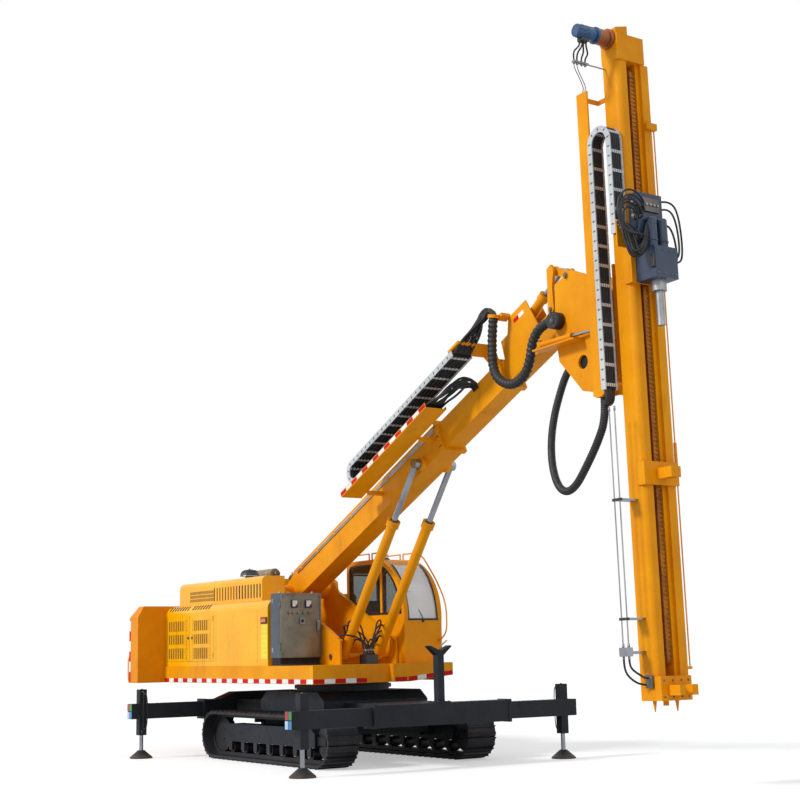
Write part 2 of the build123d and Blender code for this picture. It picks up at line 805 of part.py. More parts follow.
def cab_outline(inset):
    """The cab's side profile, shrunk by an inset, as a closed wire's face at y = 0."""
    x0, x1 = cab_rear + inset, cab_front - inset
    z0, z1 = deck_top + seat_gap + inset, cab_roof - inset
    bend_x = 180.0
    bend_z = 2420.0
    radius_x, radius_z = x1 - bend_x, z1 - bend_z
    mid = (bend_x + radius_x * cos(radians(48)), bend_z + radius_z * sin(radians(48)))
    corner = 90.0
    line = Polyline((bend_x, 0, z1), (x0 + corner, 0, z1))
    round_corner = ThreePointArc(
        (x0 + corner, 0, z1), (x0 + corner * (1 - sqrt(0.5)), 0, z1 - corner * (1 - sqrt(0.5))), (x0, 0, z1 - corner)
    )
    rest = Polyline((x0, 0, z1 - corner), (x0, 0, z0), (x1, 0, z0), (x1, 0, bend_z))
    curve = ThreePointArc((x1, 0, bend_z), (mid[0], 0, mid[1]), (bend_x, 0, z1))
    return make_face([line, round_corner, rest, curve])


def cab_solid(inset, y0, y1):
    """The cab's profile drawn out across its width."""
    return Pos(0, y0, 0) * extrude(cab_outline(inset), amount=y1 - y0, dir=(0, 1, 0))


def cab_shell():
    """The hollow cab with its windows and door opening cut."""
    shell = cab_solid(0, cab_y0, cab_y1) - cab_solid(cab_wall, cab_y0 + cab_wall, cab_y1 - cab_wall)
    glass_zone = cab_solid(cab_wall * 2.2, cab_y0 - 10, cab_y1 + 10)
    window = box(-760, 1040, cab_y0 - 20, cab_y0 + cab_wall + 20, 2590, 3560) & glass_zone
    post = box(330, 400, cab_y0 - 20, cab_y0 + cab_wall + 20, 2500, 3640)
    shell -= window - post
    front = box(560, cab_front + 60, cab_y0 + 85, cab_y1 - 85, 2480, 3500)
    shell -= front
    rear = box(cab_rear - 20, cab_rear + cab_wall + 20, cab_y0 + 110, cab_y1 - 110, 2650, 3420)
    shell -= rear
    rear_side = box(-760, door_x0 - 90, cab_y1 - cab_wall - 20, cab_y1 + 20, 2590, 3480)
    shell -= rear_side
    doorway = box(
        door_x0 - door_gap, door_x1 + door_gap, cab_y1 - cab_wall - 20, cab_y1 + 20,
        door_z0 - door_gap, door_z1 + door_gap,
    )
    shell -= doorway
    x, y = cab_hinge_x, cab_hinge_y
    for piece in hinge_pins(x, y, cab_hinge_z):
        shell += piece
    for piece in hinge_lugs(x - 40, x, y - hinge_out - 1, y + 8, cab_hinge_z):
        shell += piece
    return shell


def cab_door():
    """The door with its window opening."""
    panel = box(door_x0, door_x1, cab_y1 - cab_wall, cab_y1, door_z0, door_z1)
    window = box(door_x0 + 90, door_x1 - 90, cab_y1 - cab_wall - 10, cab_y1 + 10, 2480, door_z1 - 90)
    handle = box(door_x1 - 80, door_x1 - 60, cab_y1, cab_y1 + 25, 2280, 2420)
    door = panel - window + handle
    x, y = cab_hinge_x, cab_hinge_y
    sleeves, bores = hinge_sleeves(x, y, cab_hinge_z)
    for z, sleeve, bore in zip(cab_hinge_z, sleeves, bores):
        door += sleeve + box(x, x + 50, y - 4, y + 6, z, z + sleeve_length)
        door += box(x + 11, x + 50, y - hinge_out - 1, y, z, z + sleeve_length)
        door -= bore
    return door


def cab_fittings():
    """Seat, console and control levers inside the cab."""
    z0 = deck_top + seat_gap + cab_wall + seat_gap
    y_mid = (cab_y0 + cab_y1) / 2
    pedestal = box(-420, -60, y_mid - 150, y_mid + 150, z0, z0 + 330)
    cushion = box(-480, 20, y_mid - 230, y_mid + 230, z0 + 330, z0 + 450)
    back = slab_y([(-480, z0 + 450), (-360, z0 + 450), (-480, z0 + 1150), (-570, z0 + 1150)], y_mid - 220, y_mid + 220)
    seat = pedestal + cushion + back
    console = box(420, 700, y_mid - 260, y_mid + 260, z0, z0 + 620)
    for number in range(4):
        y = y_mid - 180 + number * 120
        console += rod((520, y, z0 + 615), (500, y, z0 + 860), 12)
        console += rod((502, y, z0 + 830), (498, y, z0 + 900), 24)
    return [seat, console]


def cab_guard():
    """Rails on the cab roof and the bowed bar outside the windscreen."""
    z1 = cab_roof
    bar = 14.0
    rails = None
    for x0, x1 in ((-780, -120), (-20, 330)):
        for y in (cab_y0 + 60, cab_y1 - 60):
            hoop = rod((x0, y, z1 + 120), (x1, y, z1 + 120), bar)
            for x in (x0, x1):
                hoop += rod((x, y, z1 + seat_gap), (x, y, z1 + 120), bar)
            rails = hoop if rails is None else rails + hoop
    y = cab_y1 - 60
    bow = [
        (330, y, z1 + 120), (640, y, z1 + 50), (1120, y, 3170), (1385, y, 2740), (1375, y, 2250),
        (cab_front + 30, y, 2100),
    ]
    rails += box(cab_front + seat_gap, cab_front + 45, y - 25, y + 25, 2070, 2130)
    return rails + tube(bow, bar)[0]


def valve_block():
    """The valve block on the deck between the luffing rams."""
    z0 = deck_top + seat_gap
    block = box(900, 1120, -190, 60, z0, z0 + 170)
    for number in range(4):
        block += rod((1010, -150 + number * 60, z0 + 165), (1010, -150 + number * 60, z0 + 230), 20)
    return block


# Boom

def girder(start, end, step):
    """A hollow box girder along the boom's line, smaller by a number of section steps."""
    half_w, half_h = section_size(step)
    outer = box(start, end, -half_w, half_w, boom_lift - half_h, boom_lift + half_h)
    inner_w, inner_h = half_w - box_wall, half_h - box_wall
    return outer - box(start - 10, end + 10, -inner_w, inner_w, boom_lift - inner_h, boom_lift + inner_h)


def section_size(step):
    """Half width and half height of a boom section."""
    return base_half_width - step * section_step, base_half_height - step * section_step


def collar_ring(end, step):
    """The square collar round a section's mouth, which the next section runs through."""
    half_w, half_h = section_size(step)
    inner_w, inner_h = section_size(step + 1)
    inner_w, inner_h = inner_w + slide_gap, inner_h + slide_gap
    half_w, half_h = half_w + collar_out, half_h + collar_out
    block = box(end - collar, end, -half_w, half_w, boom_lift - half_h, boom_lift + half_h)
    return block - box(end - collar - 10, end + 10, -inner_w, inner_w, boom_lift - inner_h, boom_lift + inner_h)


foot_reach = support_y - support_plate / 2 - move_gap


def boom_base():
    """The base section with its foot, collar and the bosses for the luffing rams' eyes."""
    half_w, half_h = section_size(0)
    low, high = boom_lift - half_h, boom_lift + half_h
    body = girder(base_start, base_end, 0)
    cheek = [(-170, -60), (-60, -170), (base_start + 160, low), (base_start + 160, high), (-60, 190), (-170, 90)]
    body += slab_y(cheek, -half_w, -half_w + 50) + slab_y(cheek, half_w - 50, half_w)
    body += rod_y(0, 0, -foot_reach, foot_reach, 130)
    body -= rod_y(0, 0, -1000, 1000, foot_pin_radius + run_gap)
    body += collar_ring(base_end, 0)
    boss = rod_y(ram_eye_along, ram_eye_up, half_w - 2, ram_y - ram_eye_width / 2 - move_gap, 120)
    body += both_sides(boss)
    for along in (3700, 5500):
        body += box(along - 30, along + 30, tray_far - 20, -half_w + 2, 40, 100)
    return boom_place * body


def boom_tray():
    """The tray beside the boom that the drag chain lies in."""
    low = tray_top - tray_plate + seat_gap
    tray = box(tray_start, tray_end, tray_near, tray_far, low, tray_top)
    tray += box(tray_start, tray_end, tray_near, tray_near + tray_plate, low, tray_top + 82)
    tray += box(tray_start, tray_end, tray_far - tray_plate, tray_far, low, tray_top + 42)
    return boom_place * tray


def chain_band(radius, thick, left, right, y0, y1):
    """A band in the shape of a U with its bend on top, and its two legs' lengths."""
    band = rod_y(0, 0, y0, y1, radius) - rod_y(0, 0, y0 - 1, y1 + 1, radius - thick)
    band -= box(-radius - 1, radius + 1, y0 - 1, y1 + 1, -radius - 1, 0)
    band += box(-radius, -radius + thick, y0, y1, -left, 1)
    band += box(radius - thick, radius, y0, y1, -right, 1)
    return band


def drag_chain(radius, left, right, y0, y1):
    """A U of drag chain: two side rails, crossbars at each link and the packed hoses between."""
    chain = chain_band(radius, chain_thick, left, right, y0, y0 + chain_rail)
    chain += chain_band(radius, chain_thick, left, right, y1 - chain_rail, y1)
    packed = chain_thick - 2 * chain_inset
    chain += chain_band(radius - chain_inset, packed, left, right, y0 + chain_rail - 1, y1 - chain_rail + 1)
    middle = radius - chain_thick / 2
    arc = pi * middle
    travel = chain_pitch / 2
    while travel < left + arc + right:
        if travel < left:
            x, z, turn = -middle, travel - left, 0.0
        elif travel < left + arc:
            turn = (travel - left) / middle
            x, z = -middle * cos(turn), middle * sin(turn)
        else:
            x, z, turn = middle, left + arc - travel, 0.0
        bar = Box(chain_thick, y1 - y0, chain_bar)
        chain += Pos(x, (y0 + y1) / 2, z) * Rot(0, degrees(turn), 0) * bar
        travel += chain_pitch
    return chain


boom_chain_low = tray_top + slide_gap
boom_chain_high = 430.0
boom_chain_rear = 3750.0
boom_chain_lower_end = 5900.0
boom_chain_upper_end = 7380.0


def boom_chain():
    """The boom's drag chain, from the tray round its bend to the bracket on the second section."""
    radius = boom_chain_high / 2
    bend = boom_chain_rear + radius
    y0, y1 = tray_near + tray_plate + 4, tray_far - tray_plate - 4
    chain = drag_chain(radius, boom_chain_lower_end - bend, boom_chain_upper_end - bend, y0, y1)
    return boom_place * (Pos(bend, 0, boom_chain_low + radius) * Rot(0, -90, 0) * chain)


def boom_mid():
    """The second section, with its collar and the bracket that pulls the drag chain."""
    half_w, half_h = section_size(1)
    body = girder(mid_start, mid_end, 1) + collar_ring(mid_end, 1)
    plate_low = boom_chain_low + boom_chain_high + move_gap
    plate_high = plate_low + 40
    bracket = box(7290, mid_end - 10, tray_near + 12, -half_w + 20, plate_low, plate_high)
    gusset = [
        (7290, plate_high), (7290, plate_low), (7460, 120), (mid_end - 10, 40), (mid_end - 10, plate_high),
    ]
    bracket += slab_y(gusset, -half_w - 20, -half_w + 2)
    return boom_place * (body + bracket)


def boom_tip():
    """The third section, with the eye for the mast head's pin and the link and ram brackets."""
    half_w, half_h = section_size(2)
    body = girder(tip_start, tip_end, 2)
    body += box(tip_end - 60, tip_end, -half_w, half_w, boom_lift - half_h, boom_lift + half_h)
    top = boom_lift + half_h
    for face in (-1, 1):
        y0, y1 = sorted((face * (half_w - 20), face * half_w))
        ear = [(7690, top - 1), (8640, top - 1), (8560, 790), (8070, 790), (7930, 560), (7740, 560)]
        body += slab_y(ear, y0, y1)
    body += box(8070, 8200, -half_w, half_w, 745, 790)
    body += box(7990, 8130, boom_hose_y + boom_hose_radius + 5, -half_w + 10, 775, 835)
    body += rod_y(tilt_ram_base_along, tilt_ram_base_up, -half_w, half_w, 30)
    body = boom_place * body
    start_x, start_z = boom_hose_route[0]
    next_x, next_z = boom_hose_route[1]
    share = 55 / hypot(start_x - next_x, start_z - next_z)
    clamp_end = (start_x + (start_x - next_x) * share, boom_hose_y, start_z + (start_z - next_z) * share)
    body += rod((start_x, boom_hose_y, start_z), clamp_end, boom_hose_radius + 14)
    neck = [
        boom_point(tip_end - 40, boom_lift - half_h), boom_point(tip_end + 120, -290),
        (tilt_x + 120, 0, tilt_z - 40), (tilt_x + 60, 0, tilt_z + 130),
        boom_point(tip_end - 40, top),
    ]
    body += slab_y([(point[0], point[2]) for point in neck], -half_w, half_w)
    body += rod_y(tilt_x, tilt_z, -tilt_reach, tilt_reach, 130)
    ear = [
        (link_foot_x - 190, link_foot_z - 260), (link_foot_x + 120, link_foot_z - 180),
        (link_foot_x + 60, link_foot_z + 50), (link_foot_x - 60, link_foot_z + 50),
    ]
    body += both_sides(slab_y(ear, half_w - 30, half_w))
    body += rod_y(link_foot_x, link_foot_z, -link_out, link_out, 36)
    reach = tilt_ram_radius * 1.25 + move_gap
    slot = boom_place * box(8640, tip_end + 400, -reach, reach, 185, 400)
    body -= slot
    outer = head_plate_y + head_plate / 2
    body += rod_y(tilt_x, tilt_z, -outer - 30, outer + 25, tilt_pin_radius)
    hub_outer = boom_hose_y - boom_hose_radius
    body += rod_y(tilt_x, tilt_z, hub_outer, -outer - move_gap, hub_radius)
    end_x, end_z = boom_hose_route[-1]
    last_x, last_z = boom_hose_route[-2]
    share = (tilt_x - end_x) / (end_x - last_x)
    inner_end = (tilt_x, boom_hose_y, end_z + (end_z - last_z) * share)
    return body + rod((end_x, boom_hose_y, end_z), inner_end, boom_hose_radius - 2)


def place_ram(base, eye, y, barrel_radius, rod_radius, barrel_length, widths, pin_radius):
    """A ram from its base pin to its rod eye, as a barrel and a rod."""
    length = hypot(eye[0] - base[0], eye[1] - base[1])
    ux, uz = (eye[0] - base[0]) / length, (eye[1] - base[1]) / length

    def along(distance):
        return (base[0] + ux * distance, y, base[1] + uz * distance)

    base_width, eye_width = widths
    eye_radius = barrel_radius * 0.95
    barrel = rod(along(eye_radius * 0.7), along(barrel_length), barrel_radius)
    barrel += rod_y(base[0], base[1], y - base_width / 2, y + base_width / 2, eye_radius)
    barrel += rod(along(barrel_length - 110), along(barrel_length), barrel_radius * 1.25)
    barrel -= rod_y(base[0], base[1], y - base_width, y + base_width, pin_radius + run_gap)
    barrel -= rod(along(eye_radius * 1.6), along(barrel_length + 10), rod_radius + slide_gap)
    piston = rod(along(barrel_length * ram_inner_share), along(length - rod_radius), rod_radius)
    piston += rod_y(eye[0], eye[1], y - eye_width / 2, y + eye_width / 2, rod_radius * 1.6)
    return barrel, piston


ram_eye = boom_point(ram_eye_along, ram_eye_up)
tilt_ram_base = boom_point(tilt_ram_base_along, tilt_ram_base_up)


def tilt_links():
    """The pair of curved links from the boom's tip to the tilt ram's eye."""
    outline = [
        (link_foot_x - 75, link_foot_z - 40), (link_foot_x + 10, link_foot_z - 75),
        (link_foot_x + 75, link_foot_z), (link_foot_x + 50, link_foot_z + 330),
        (link_pin_x + 85, link_pin_z - 10), (link_pin_x + 20, link_pin_z + 85),
        (link_pin_x - 75, link_pin_z + 30), (link_foot_x - 60, link_foot_z + 330),
    ]
    pair = slab_y(outline, link_in, link_out - 0.5)
    pair -= rod_y(link_foot_x, link_foot_z, 0, 400, 36 + run_gap)
    pair += rod_y(link_pin_x, link_pin_z, bar_out + move_gap, link_in + 1, 40)
    pair += mirror(pair, about=Plane.XZ)
    return pair


def upper_bars():
    """The pair of bars from the tilt ram's eye to the mast head's pin."""
    dx, dz = head_pin_x - link_pin_x, head_pin_z - link_pin_z
    length = hypot(dx, dz)
    nx, nz = -dz / length * 60, dx / length * 60
    outline = [
        (link_pin_x + nx, link_pin_z + nz), (link_pin_x - nx, link_pin_z - nz),
        (head_pin_x - nx, head_pin_z - nz), (head_pin_x + nx, head_pin_z + nz),
    ]
    bar = slab_y(outline, bar_in, bar_out)
    bar += rod_y(link_pin_x, link_pin_z, bar_in, bar_out, 75) + rod_y(head_pin_x, head_pin_z, bar_in, bar_out, 75)
    bar -= rod_y(head_pin_x, head_pin_z, 0, 400, head_pin_radius + run_gap)
    hub = rod_y(head_pin_x, head_pin_z, -bar_in - 1, bar_in + 1, 62)
    hub -= rod_y(head_pin_x, head_pin_z, -400, 400, head_pin_radius + run_gap)
    return both_sides(bar) + hub


head_outline = [
    (6860, 7370), (7243, 7516), (7963, 7197), (7851, 5509), (7376, 5629), (6882, 6168), (6833, 6517),
]


def mast_head():
    """The two side plates that tilt on the boom's tip, with the swing shelves between them."""
    inner, outer = head_plate_y - head_plate / 2, head_plate_y + head_plate / 2
    plate = slab_y(head_outline, inner, outer)
    plate -= rod_y(7415, 6060, inner - 5, outer + 5, 105)
    plate -= rod_y(tilt_x, tilt_z, inner - 5, outer + 5, tilt_pin_radius + run_gap)
    head = both_sides(plate)
    head -= box(7600, 8000, -outer - 5, -inner + 5, swing_ram_z - 75, swing_ram_z + 75)
    for z in (5700, 7050):
        shelf = box(7420, 7830, -inner - 1, inner + 1, z, z + 50)
        head += shelf
    head += rod((swing_x, 0, 5690), (swing_x, 0, 7110), swing_pin_radius)
    z = swing_ram_z - 90
    head += box(6520, 7480, -545, -outer + 1, z, z + 25)
    head += rod((*swing_ram_base, z), (*swing_ram_base, swing_ram_z + 60), 20)
    return mast_place * head + rod_y(head_pin_x, head_pin_z, -outer - 20, outer + 20, head_pin_radius)


def swing_ram():
    """The swing ram beside the mast head, as a barrel and a rod."""
    bx, by = swing_ram_base
    ex, ey = swing_ram_eye
    length = hypot(ex - bx, ey - by)
    ux, uy = (ex - bx) / length, (ey - by) / length

    def along(distance):
        return (bx + ux * distance, by + uy * distance, swing_ram_z)

    barrel = rod(along(35), along(700), 45) + rod((bx, by, swing_ram_z - 45), (bx, by, swing_ram_z + 45), 48)
    barrel += rod(along(640), along(700), 55)
    barrel -= rod((bx, by, swing_ram_z - 100), (bx, by, swing_ram_z + 100), 20 + run_gap)
    barrel -= rod(along(80), along(710), 25 + slide_gap)
    piston = rod(along(450), along(length - 20), 25)
    piston += rod((ex, ey, swing_ram_z - 30), (ex, ey, swing_ram_z + 30), 38)
    return mast_place * barrel, mast_place * piston


def mast_carrier():
    """The swinging carrier with its claws round the mast's rear rail."""
    face = mast_rear - rail_depth - slide_gap
    body = rod((swing_x, 0, 5760), (swing_x, 0, 7042), 100)
    body += box(swing_x + 40, face - 20, -100, 100, 5760, 7042)
    body -= rod((swing_x, 0, 5000), (swing_x, 0, 8000), swing_pin_radius + run_gap)
    body += box(face - 40, face, -230, 230, carrier_low, carrier_high)
    claw_x = mast_rear - rail_depth + rail_flange + slide_gap
    for side in (-1, 1):
        y0, y1 = sorted((side * (rail_half + slide_gap), side * 200))
        body += box(face - 1, mast_rear - 10, y0, y1, carrier_low, carrier_high)
        y0, y1 = sorted((side * (rail_stem + slide_gap), side * 200))
        body += box(claw_x, mast_rear - 10, y0, y1, carrier_low, carrier_high)
    ex, ey = swing_ram_eye
    lug = [(ex - 38, ey - 30), (ex + 30, ey - 38), (ex + 50, ey + 40), (face - 2, -225), (face - 2, -100), (face - 40, -200)]
    z = swing_ram_z + 30 + move_gap
    body += slab_z(lug, z, z + 30)
    hose_x, hose_y, hose_z = mast_hose_route[0]
    next_x, next_y, next_z = mast_hose_route[1]
    share = 75 / hypot(hose_x - next_x, hose_y - next_y, hose_z - next_z)
    inner_end = (
        hose_x + (hose_x - next_x) * share, hose_y + (hose_y - next_y) * share, hose_z + (hose_z - next_z) * share,
    )
    body += rod((hose_x, hose_y, hose_z), inner_end, mast_hose_radius + 10)
    return mast_place * body


def mast_frame():
    """The mast: near column, far column with the chain's channel, ties and the rear rail."""
    near = box(mast_rear, mast_front, mast_near, column_inner, mast_foot, mast_head_z)
    edge = near.edges().filter_by(Axis.Z).group_by(Axis.Y)[0].sort_by(Axis.X)[-1]
    near = fillet(edge, 90)
    far = box(mast_rear, mast_front, 160, mast_far, mast_foot, mast_head_z)
    far += box(mast_rear, mast_front - 50, channel_wall, 161, mast_foot, mast_head_z)
    far += box(mast_rear, mast_rear + 20, channel_lip, channel_wall + 1, mast_foot, mast_head_z)
    far += box(mast_rear, mast_rear + 110, channel_lip, channel_lip + 15, mast_foot, mast_head_z)
    mast = near + far
    for z in (1700, 2900, 4270, 6000, 7300, 8600, 9900):
        mast += box(mast_rear, mast_rear + 70, column_inner - 1, channel_lip + 1, z - 60, z + 60)
    mast += box(mast_rear - rail_depth + rail_flange - 1, mast_rear + 1, -rail_stem, rail_stem, rail_low, rail_high)
    mast += box(mast_rear - rail_depth, mast_rear - rail_depth + rail_flange, -rail_half, rail_half, rail_low, rail_high)
    mast += box(mast_front - 1, mast_front + 60, 165, mast_far + 55, 9400, 9500)
    for z in (sprocket_low, sprocket_high):
        mast += rod_y(sprocket_x, z, channel_lip + 1, channel_wall + 1, 25)
        mast += rod_y(sprocket_x, z, 0, 50, feed_chain_radius - feed_chain_thick - slide_gap)
    return mast_place * mast


def feed_chain():
    """The feed chain's loop in the far column's channel."""
    radius, thick = feed_chain_radius, feed_chain_thick
    outer = box(sprocket_x - radius, sprocket_x + radius, -10, 60, sprocket_low, sprocket_high)
    inner = box(sprocket_x - radius + thick, sprocket_x + radius - thick, -20, 70, sprocket_low, sprocket_high)
    for z in (sprocket_low, sprocket_high):
        outer += rod_y(sprocket_x, z, -10, 60, radius)
        inner += rod_y(sprocket_x, z, -20, 70, radius - thick)
    return mast_place * (outer - inner)


def top_housing():
    """The crown block on the mast's top."""
    z0 = mast_head_z + seat_gap
    crown = box(mast_rear - 20, mast_front + 20, mast_near, 230, z0, z0 + 410)
    crown += slab_x([(mast_near, z0 + 409), (-60, z0 + 409), (-60, z0 + 560), (mast_near, z0 + 500)], mast_rear, mast_front)
    return mast_place * crown


def feed_motor():
    """The feed winch's gearbox and motor, which stand out to the near side."""
    z = mast_head_z + 360
    x = (mast_rear + mast_front) / 2
    y = mast_near - seat_gap
    gear = rod((x, y, z), (x, y - 60, z), 150) + rod((x, y - 59, z), (x, y - 270, z), 120)
    motor = rod((x, y - 269, z), (x, y - 640, z), 95)
    return mast_place * (gear + motor)


def foot_clamp():
    """The clamp block at the mast's foot, with its spikes."""
    z1 = mast_foot - seat_gap
    block = box(mast_rear + 10, mast_front + 90, -300, 270, z1 - 330, z1)
    block += box(mast_front + 60, feed_axis_x + 60, -170, 170, z1 - 260, z1 - 120)
    block -= rod((feed_axis_x, 0, 1000), (feed_axis_x, 0, 1600), 90)
    for y in (-210, 210):
        block += Pos(8360, y, z1 - 330 - 75) * Cone(8, 30, 150)
    block += rod((8360, 0, z1 - 400), (8360, 0, z1 - 329), 40)
    return mast_place * block


def chain_tray():
    """The plate behind the mast that guides the mast's drag chain."""
    tray = box(7800, 8030, -500, -475, 5450, 10050)
    for z in (5480, 9900):
        tray += box(7990, 8027, -490, -245, z - 30, z + 30)
        tray += box(7990, mast_rear - seat_gap, -275, -245, z - 30, z + 30)
    hose_x, hose_y, hose_z = mast_hose_route[-1]
    tray += box(hose_x - 75, hose_x + 75, -500, hose_y + 65, hose_z, 5456)
    return mast_place * tray


def mast_pipes():
    """Two pressure pipes beside the near column, with their brackets."""
    pipes = None
    for x in (8235, 8345):
        pipe = rod((x, -612, 1870), (x, -612, 5200), 10)
        pipes = pipe if pipes is None else pipes + pipe
    for z in (2260, 3900):
        pipes += box(8210, 8370, -625, mast_near - seat_gap, z - 15, z + 15)
    pipes += box(8205, 8375, -665, -565, 1755, 1875)
    pipes += box(8240, 8340, -566, mast_near - seat_gap, 1785, 1825)
    return mast_place * pipes


def guide_rod():
    """The thin rod that steers the rod guide, and its end brackets."""
    guide = rod((8480, 380, 1560), (8480, 380, 9540), 10)
    for z in (1560, 9420):
        guide += box(8455, 8505, mast_far + seat_gap, 400, z, z + 40)
    return mast_place * guide


chain_top = 9390.0
chain_left_end = 5500.0
chain_right_end = 7700.0


def mast_chain():
    """The drag chain loop beside the mast."""
    radius = (chain_right - chain_left) / 2
    bend = chain_top - radius
    chain = drag_chain(radius, bend - chain_left_end, bend - chain_right_end, chain_near, chain_far)
    return mast_place * (Pos(chain_left + radius, 0, bend) * chain)


def boom_hose():
    """The ribbed hose that hangs from the boom's tip to the hub on the mast head."""
    return tube([(x, boom_hose_y, z) for x, z in boom_hose_route], boom_hose_radius)


def mast_hose():
    """The hose loop that hangs between the mast's carrier and the foot of the chain tray."""
    hose, radii, length = tube(mast_hose_route, mast_hose_radius)
    return mast_place * hose, radii, length


def carriage(y0, y1, z0, z1):
    """A plate across the mast's front with a shoe along each outer face."""
    x0 = mast_front + move_gap
    plate = box(x0, x0 + 42, y0, y1, z0, z1)
    near = mast_near - slide_gap
    far = mast_far + slide_gap
    plate += box(mast_front - 110, x0 + 42, near - 26, near, z0, z1)
    plate += box(mast_front - 110, x0 + 42, far, far + 26, z0, z1)
    plate += box(x0, x0 + 42, near - 26, far + 26, z0, z1)
    return plate


def rod_guide():
    """The rod guide that follows the power head at half speed."""
    body = carriage(-240, 250, 4100, 4430)
    body += box(mast_front + 40, feed_axis_x + 90, -90, 90, 4180, 4330)
    body -= rod((feed_axis_x, 0, 4000), (feed_axis_x, 0, 4500), 72)
    tube = rod((8480, 380, 4120), (8480, 380, 4730), 24) - rod((8480, 380, 4000), (8480, 380, 4800), 10 + slide_gap)
    body += tube
    body += box(8460, 8500, mast_far + 20, 364, 4200, 4330)
    return mast_place * body


def power_head():
    """The drilling power head on its carriage."""
    head = carriage(-300, 300, 7000, 8100)
    x0 = mast_front + 40
    head += box(x0, 8960, -230, 200, 7000, 7460)
    for y in (-110, 90):
        head += rod((8800, y, 7459), (8800, y, 7900), 78)
    head += box(x0, 8740, -300, 180, 7459, 8300)
    head += box(chain_right + slide_gap, chain_right + 22, chain_near + 5, -300, 7500, 7900)
    return mast_place * head


def drill_spindle():
    """The turning spindle below the power head."""
    spindle = rod((feed_axis_x, 0, 6350), (feed_axis_x, 0, 7000 - seat_gap), 60)
    spindle += rod((feed_axis_x, 0, 6850), (feed_axis_x, 0, 7000 - seat_gap), 110)
    return mast_place * spindle


# Writing every node

def main():
    barrels, pistons = [], []
    for side, name in ((-1, "right"), (1, "left")):
        write(f"track_{name}", track_loop(side))
        for end, place in ((1, "front"), (-1, "rear")):
            write(f"outrigger_arm_{place}_{name}", outrigger_arm(end, side))
            write(f"jack_leg_{place}_{name}", jack_leg(end, side))
        barrel, piston = place_ram(
            (ram_base_x, ram_base_z), (ram_eye[0], ram_eye[2]), side * ram_y, ram_barrel_radius, ram_rod_radius,
            ram_barrel_length, (116.0, ram_eye_width), ram_pin_radius,
        )
        barrels.append(barrel)
        pistons.append(piston)
    write("luff_barrels", *barrels)
    write("luff_rods", *pistons)
    write("track_frames", track_frame(-1), track_frame(1))
    write("running_gear", running_gear(-1), running_gear(1))
    write("outrigger_beams", outrigger_housing(-1), outrigger_housing(1))
    write("carrier_body", carrier_body())
    write("slewing_ring", ring())
    write("boom_rest", boom_rest())
    write("platform", platform())
    write("boom_support", boom_support())
    write("counterweight", counterweight())
    write("engine_hood", engine_hood())
    write("upper_hood", upper_hood())
    write("engine_block", engine())
    write("air_cleaner", *air_cleaner())
    write("hydraulic_tank", hydraulic_tank())
    write("control_cabinet", control_cabinet())
    write("cabinet_door", cabinet_panel())
    write("cab_shell", cab_shell())
    write("cab_door", cab_door())
    write("cab_fittings", *cab_fittings())
    write("cab_guard", cab_guard())
    write("valve_block", valve_block())
    write("boom_base", boom_base())
    write("boom_tray", boom_tray())
    write("boom_chain", boom_chain())
    write("boom_mid", boom_mid())
    write("boom_tip", boom_tip())
    tilt_barrel, tilt_rod = place_ram(
        (tilt_ram_base[0], tilt_ram_base[2]), (link_pin_x, link_pin_z), 0.0, tilt_ram_radius, tilt_rod_radius,
        tilt_ram_length, (120.0, 2 * bar_in - 2 * move_gap), 30.0,
    )
    write("tilt_barrel", tilt_barrel)
    write("tilt_rod", tilt_rod)
    write("tilt_links", tilt_links())
    write("upper_bars", upper_bars())
    write("mast_head", mast_head())
    swing_barrel, swing_rod = swing_ram()
    write("swing_barrel", swing_barrel)
    write("swing_rod", swing_rod)
    write("mast_carrier", mast_carrier())
    write("mast_frame", mast_frame())
    write("feed_chain", feed_chain())
    write("top_housing", top_housing())
    write("feed_motor", feed_motor())
    write("foot_clamp", foot_clamp())
    write("chain_tray", chain_tray())
    write("mast_pipes", mast_pipes())
    write("guide_rod", guide_rod())
    write("mast_chain", mast_chain())
    write("rod_guide", rod_guide())
    write("power_head", power_head())
    write("drill_spindle", drill_spindle())
    hoses = (("boom_hose", boom_hose_radius, boom_hose()), ("mast_hose", mast_hose_radius, mast_hose()))
    for name, radius, (hose, radii, length) in hoses:
        print(name, "bend radii", [round(bend) for bend in radii], "length", round(length))
        print(name, "volume over section times length", round(hose.volume / (pi * radius**2 * length), 3))
        write(name, hose)


if __name__ == "__main__":
    main()
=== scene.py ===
# Looks for the crawler anchor drilling rig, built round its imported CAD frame.
# Metres, in the CAD's frame: X forward to the mast, Y to the cab side, Z up.

import math

import bmesh
import bpy
from mathutils import Matrix, Vector


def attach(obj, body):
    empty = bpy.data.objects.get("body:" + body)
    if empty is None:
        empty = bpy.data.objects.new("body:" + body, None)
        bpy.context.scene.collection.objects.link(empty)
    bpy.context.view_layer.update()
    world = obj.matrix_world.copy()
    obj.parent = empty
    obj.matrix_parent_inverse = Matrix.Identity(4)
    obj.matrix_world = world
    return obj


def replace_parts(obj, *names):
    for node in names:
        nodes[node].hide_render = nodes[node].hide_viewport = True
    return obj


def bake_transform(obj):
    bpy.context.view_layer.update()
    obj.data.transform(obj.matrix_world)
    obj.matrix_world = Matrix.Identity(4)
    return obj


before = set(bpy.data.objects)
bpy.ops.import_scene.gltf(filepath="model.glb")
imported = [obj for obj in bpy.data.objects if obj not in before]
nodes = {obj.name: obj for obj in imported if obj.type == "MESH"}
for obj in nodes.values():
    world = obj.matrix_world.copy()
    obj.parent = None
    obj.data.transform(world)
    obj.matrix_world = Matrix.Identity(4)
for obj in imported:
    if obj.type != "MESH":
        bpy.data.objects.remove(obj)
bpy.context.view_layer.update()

# Places shared with the CAD
shift_x = -1.900
boom_foot = Vector((-1.550 + shift_x, 0.0, 3.100))
luff = math.radians(24.4)
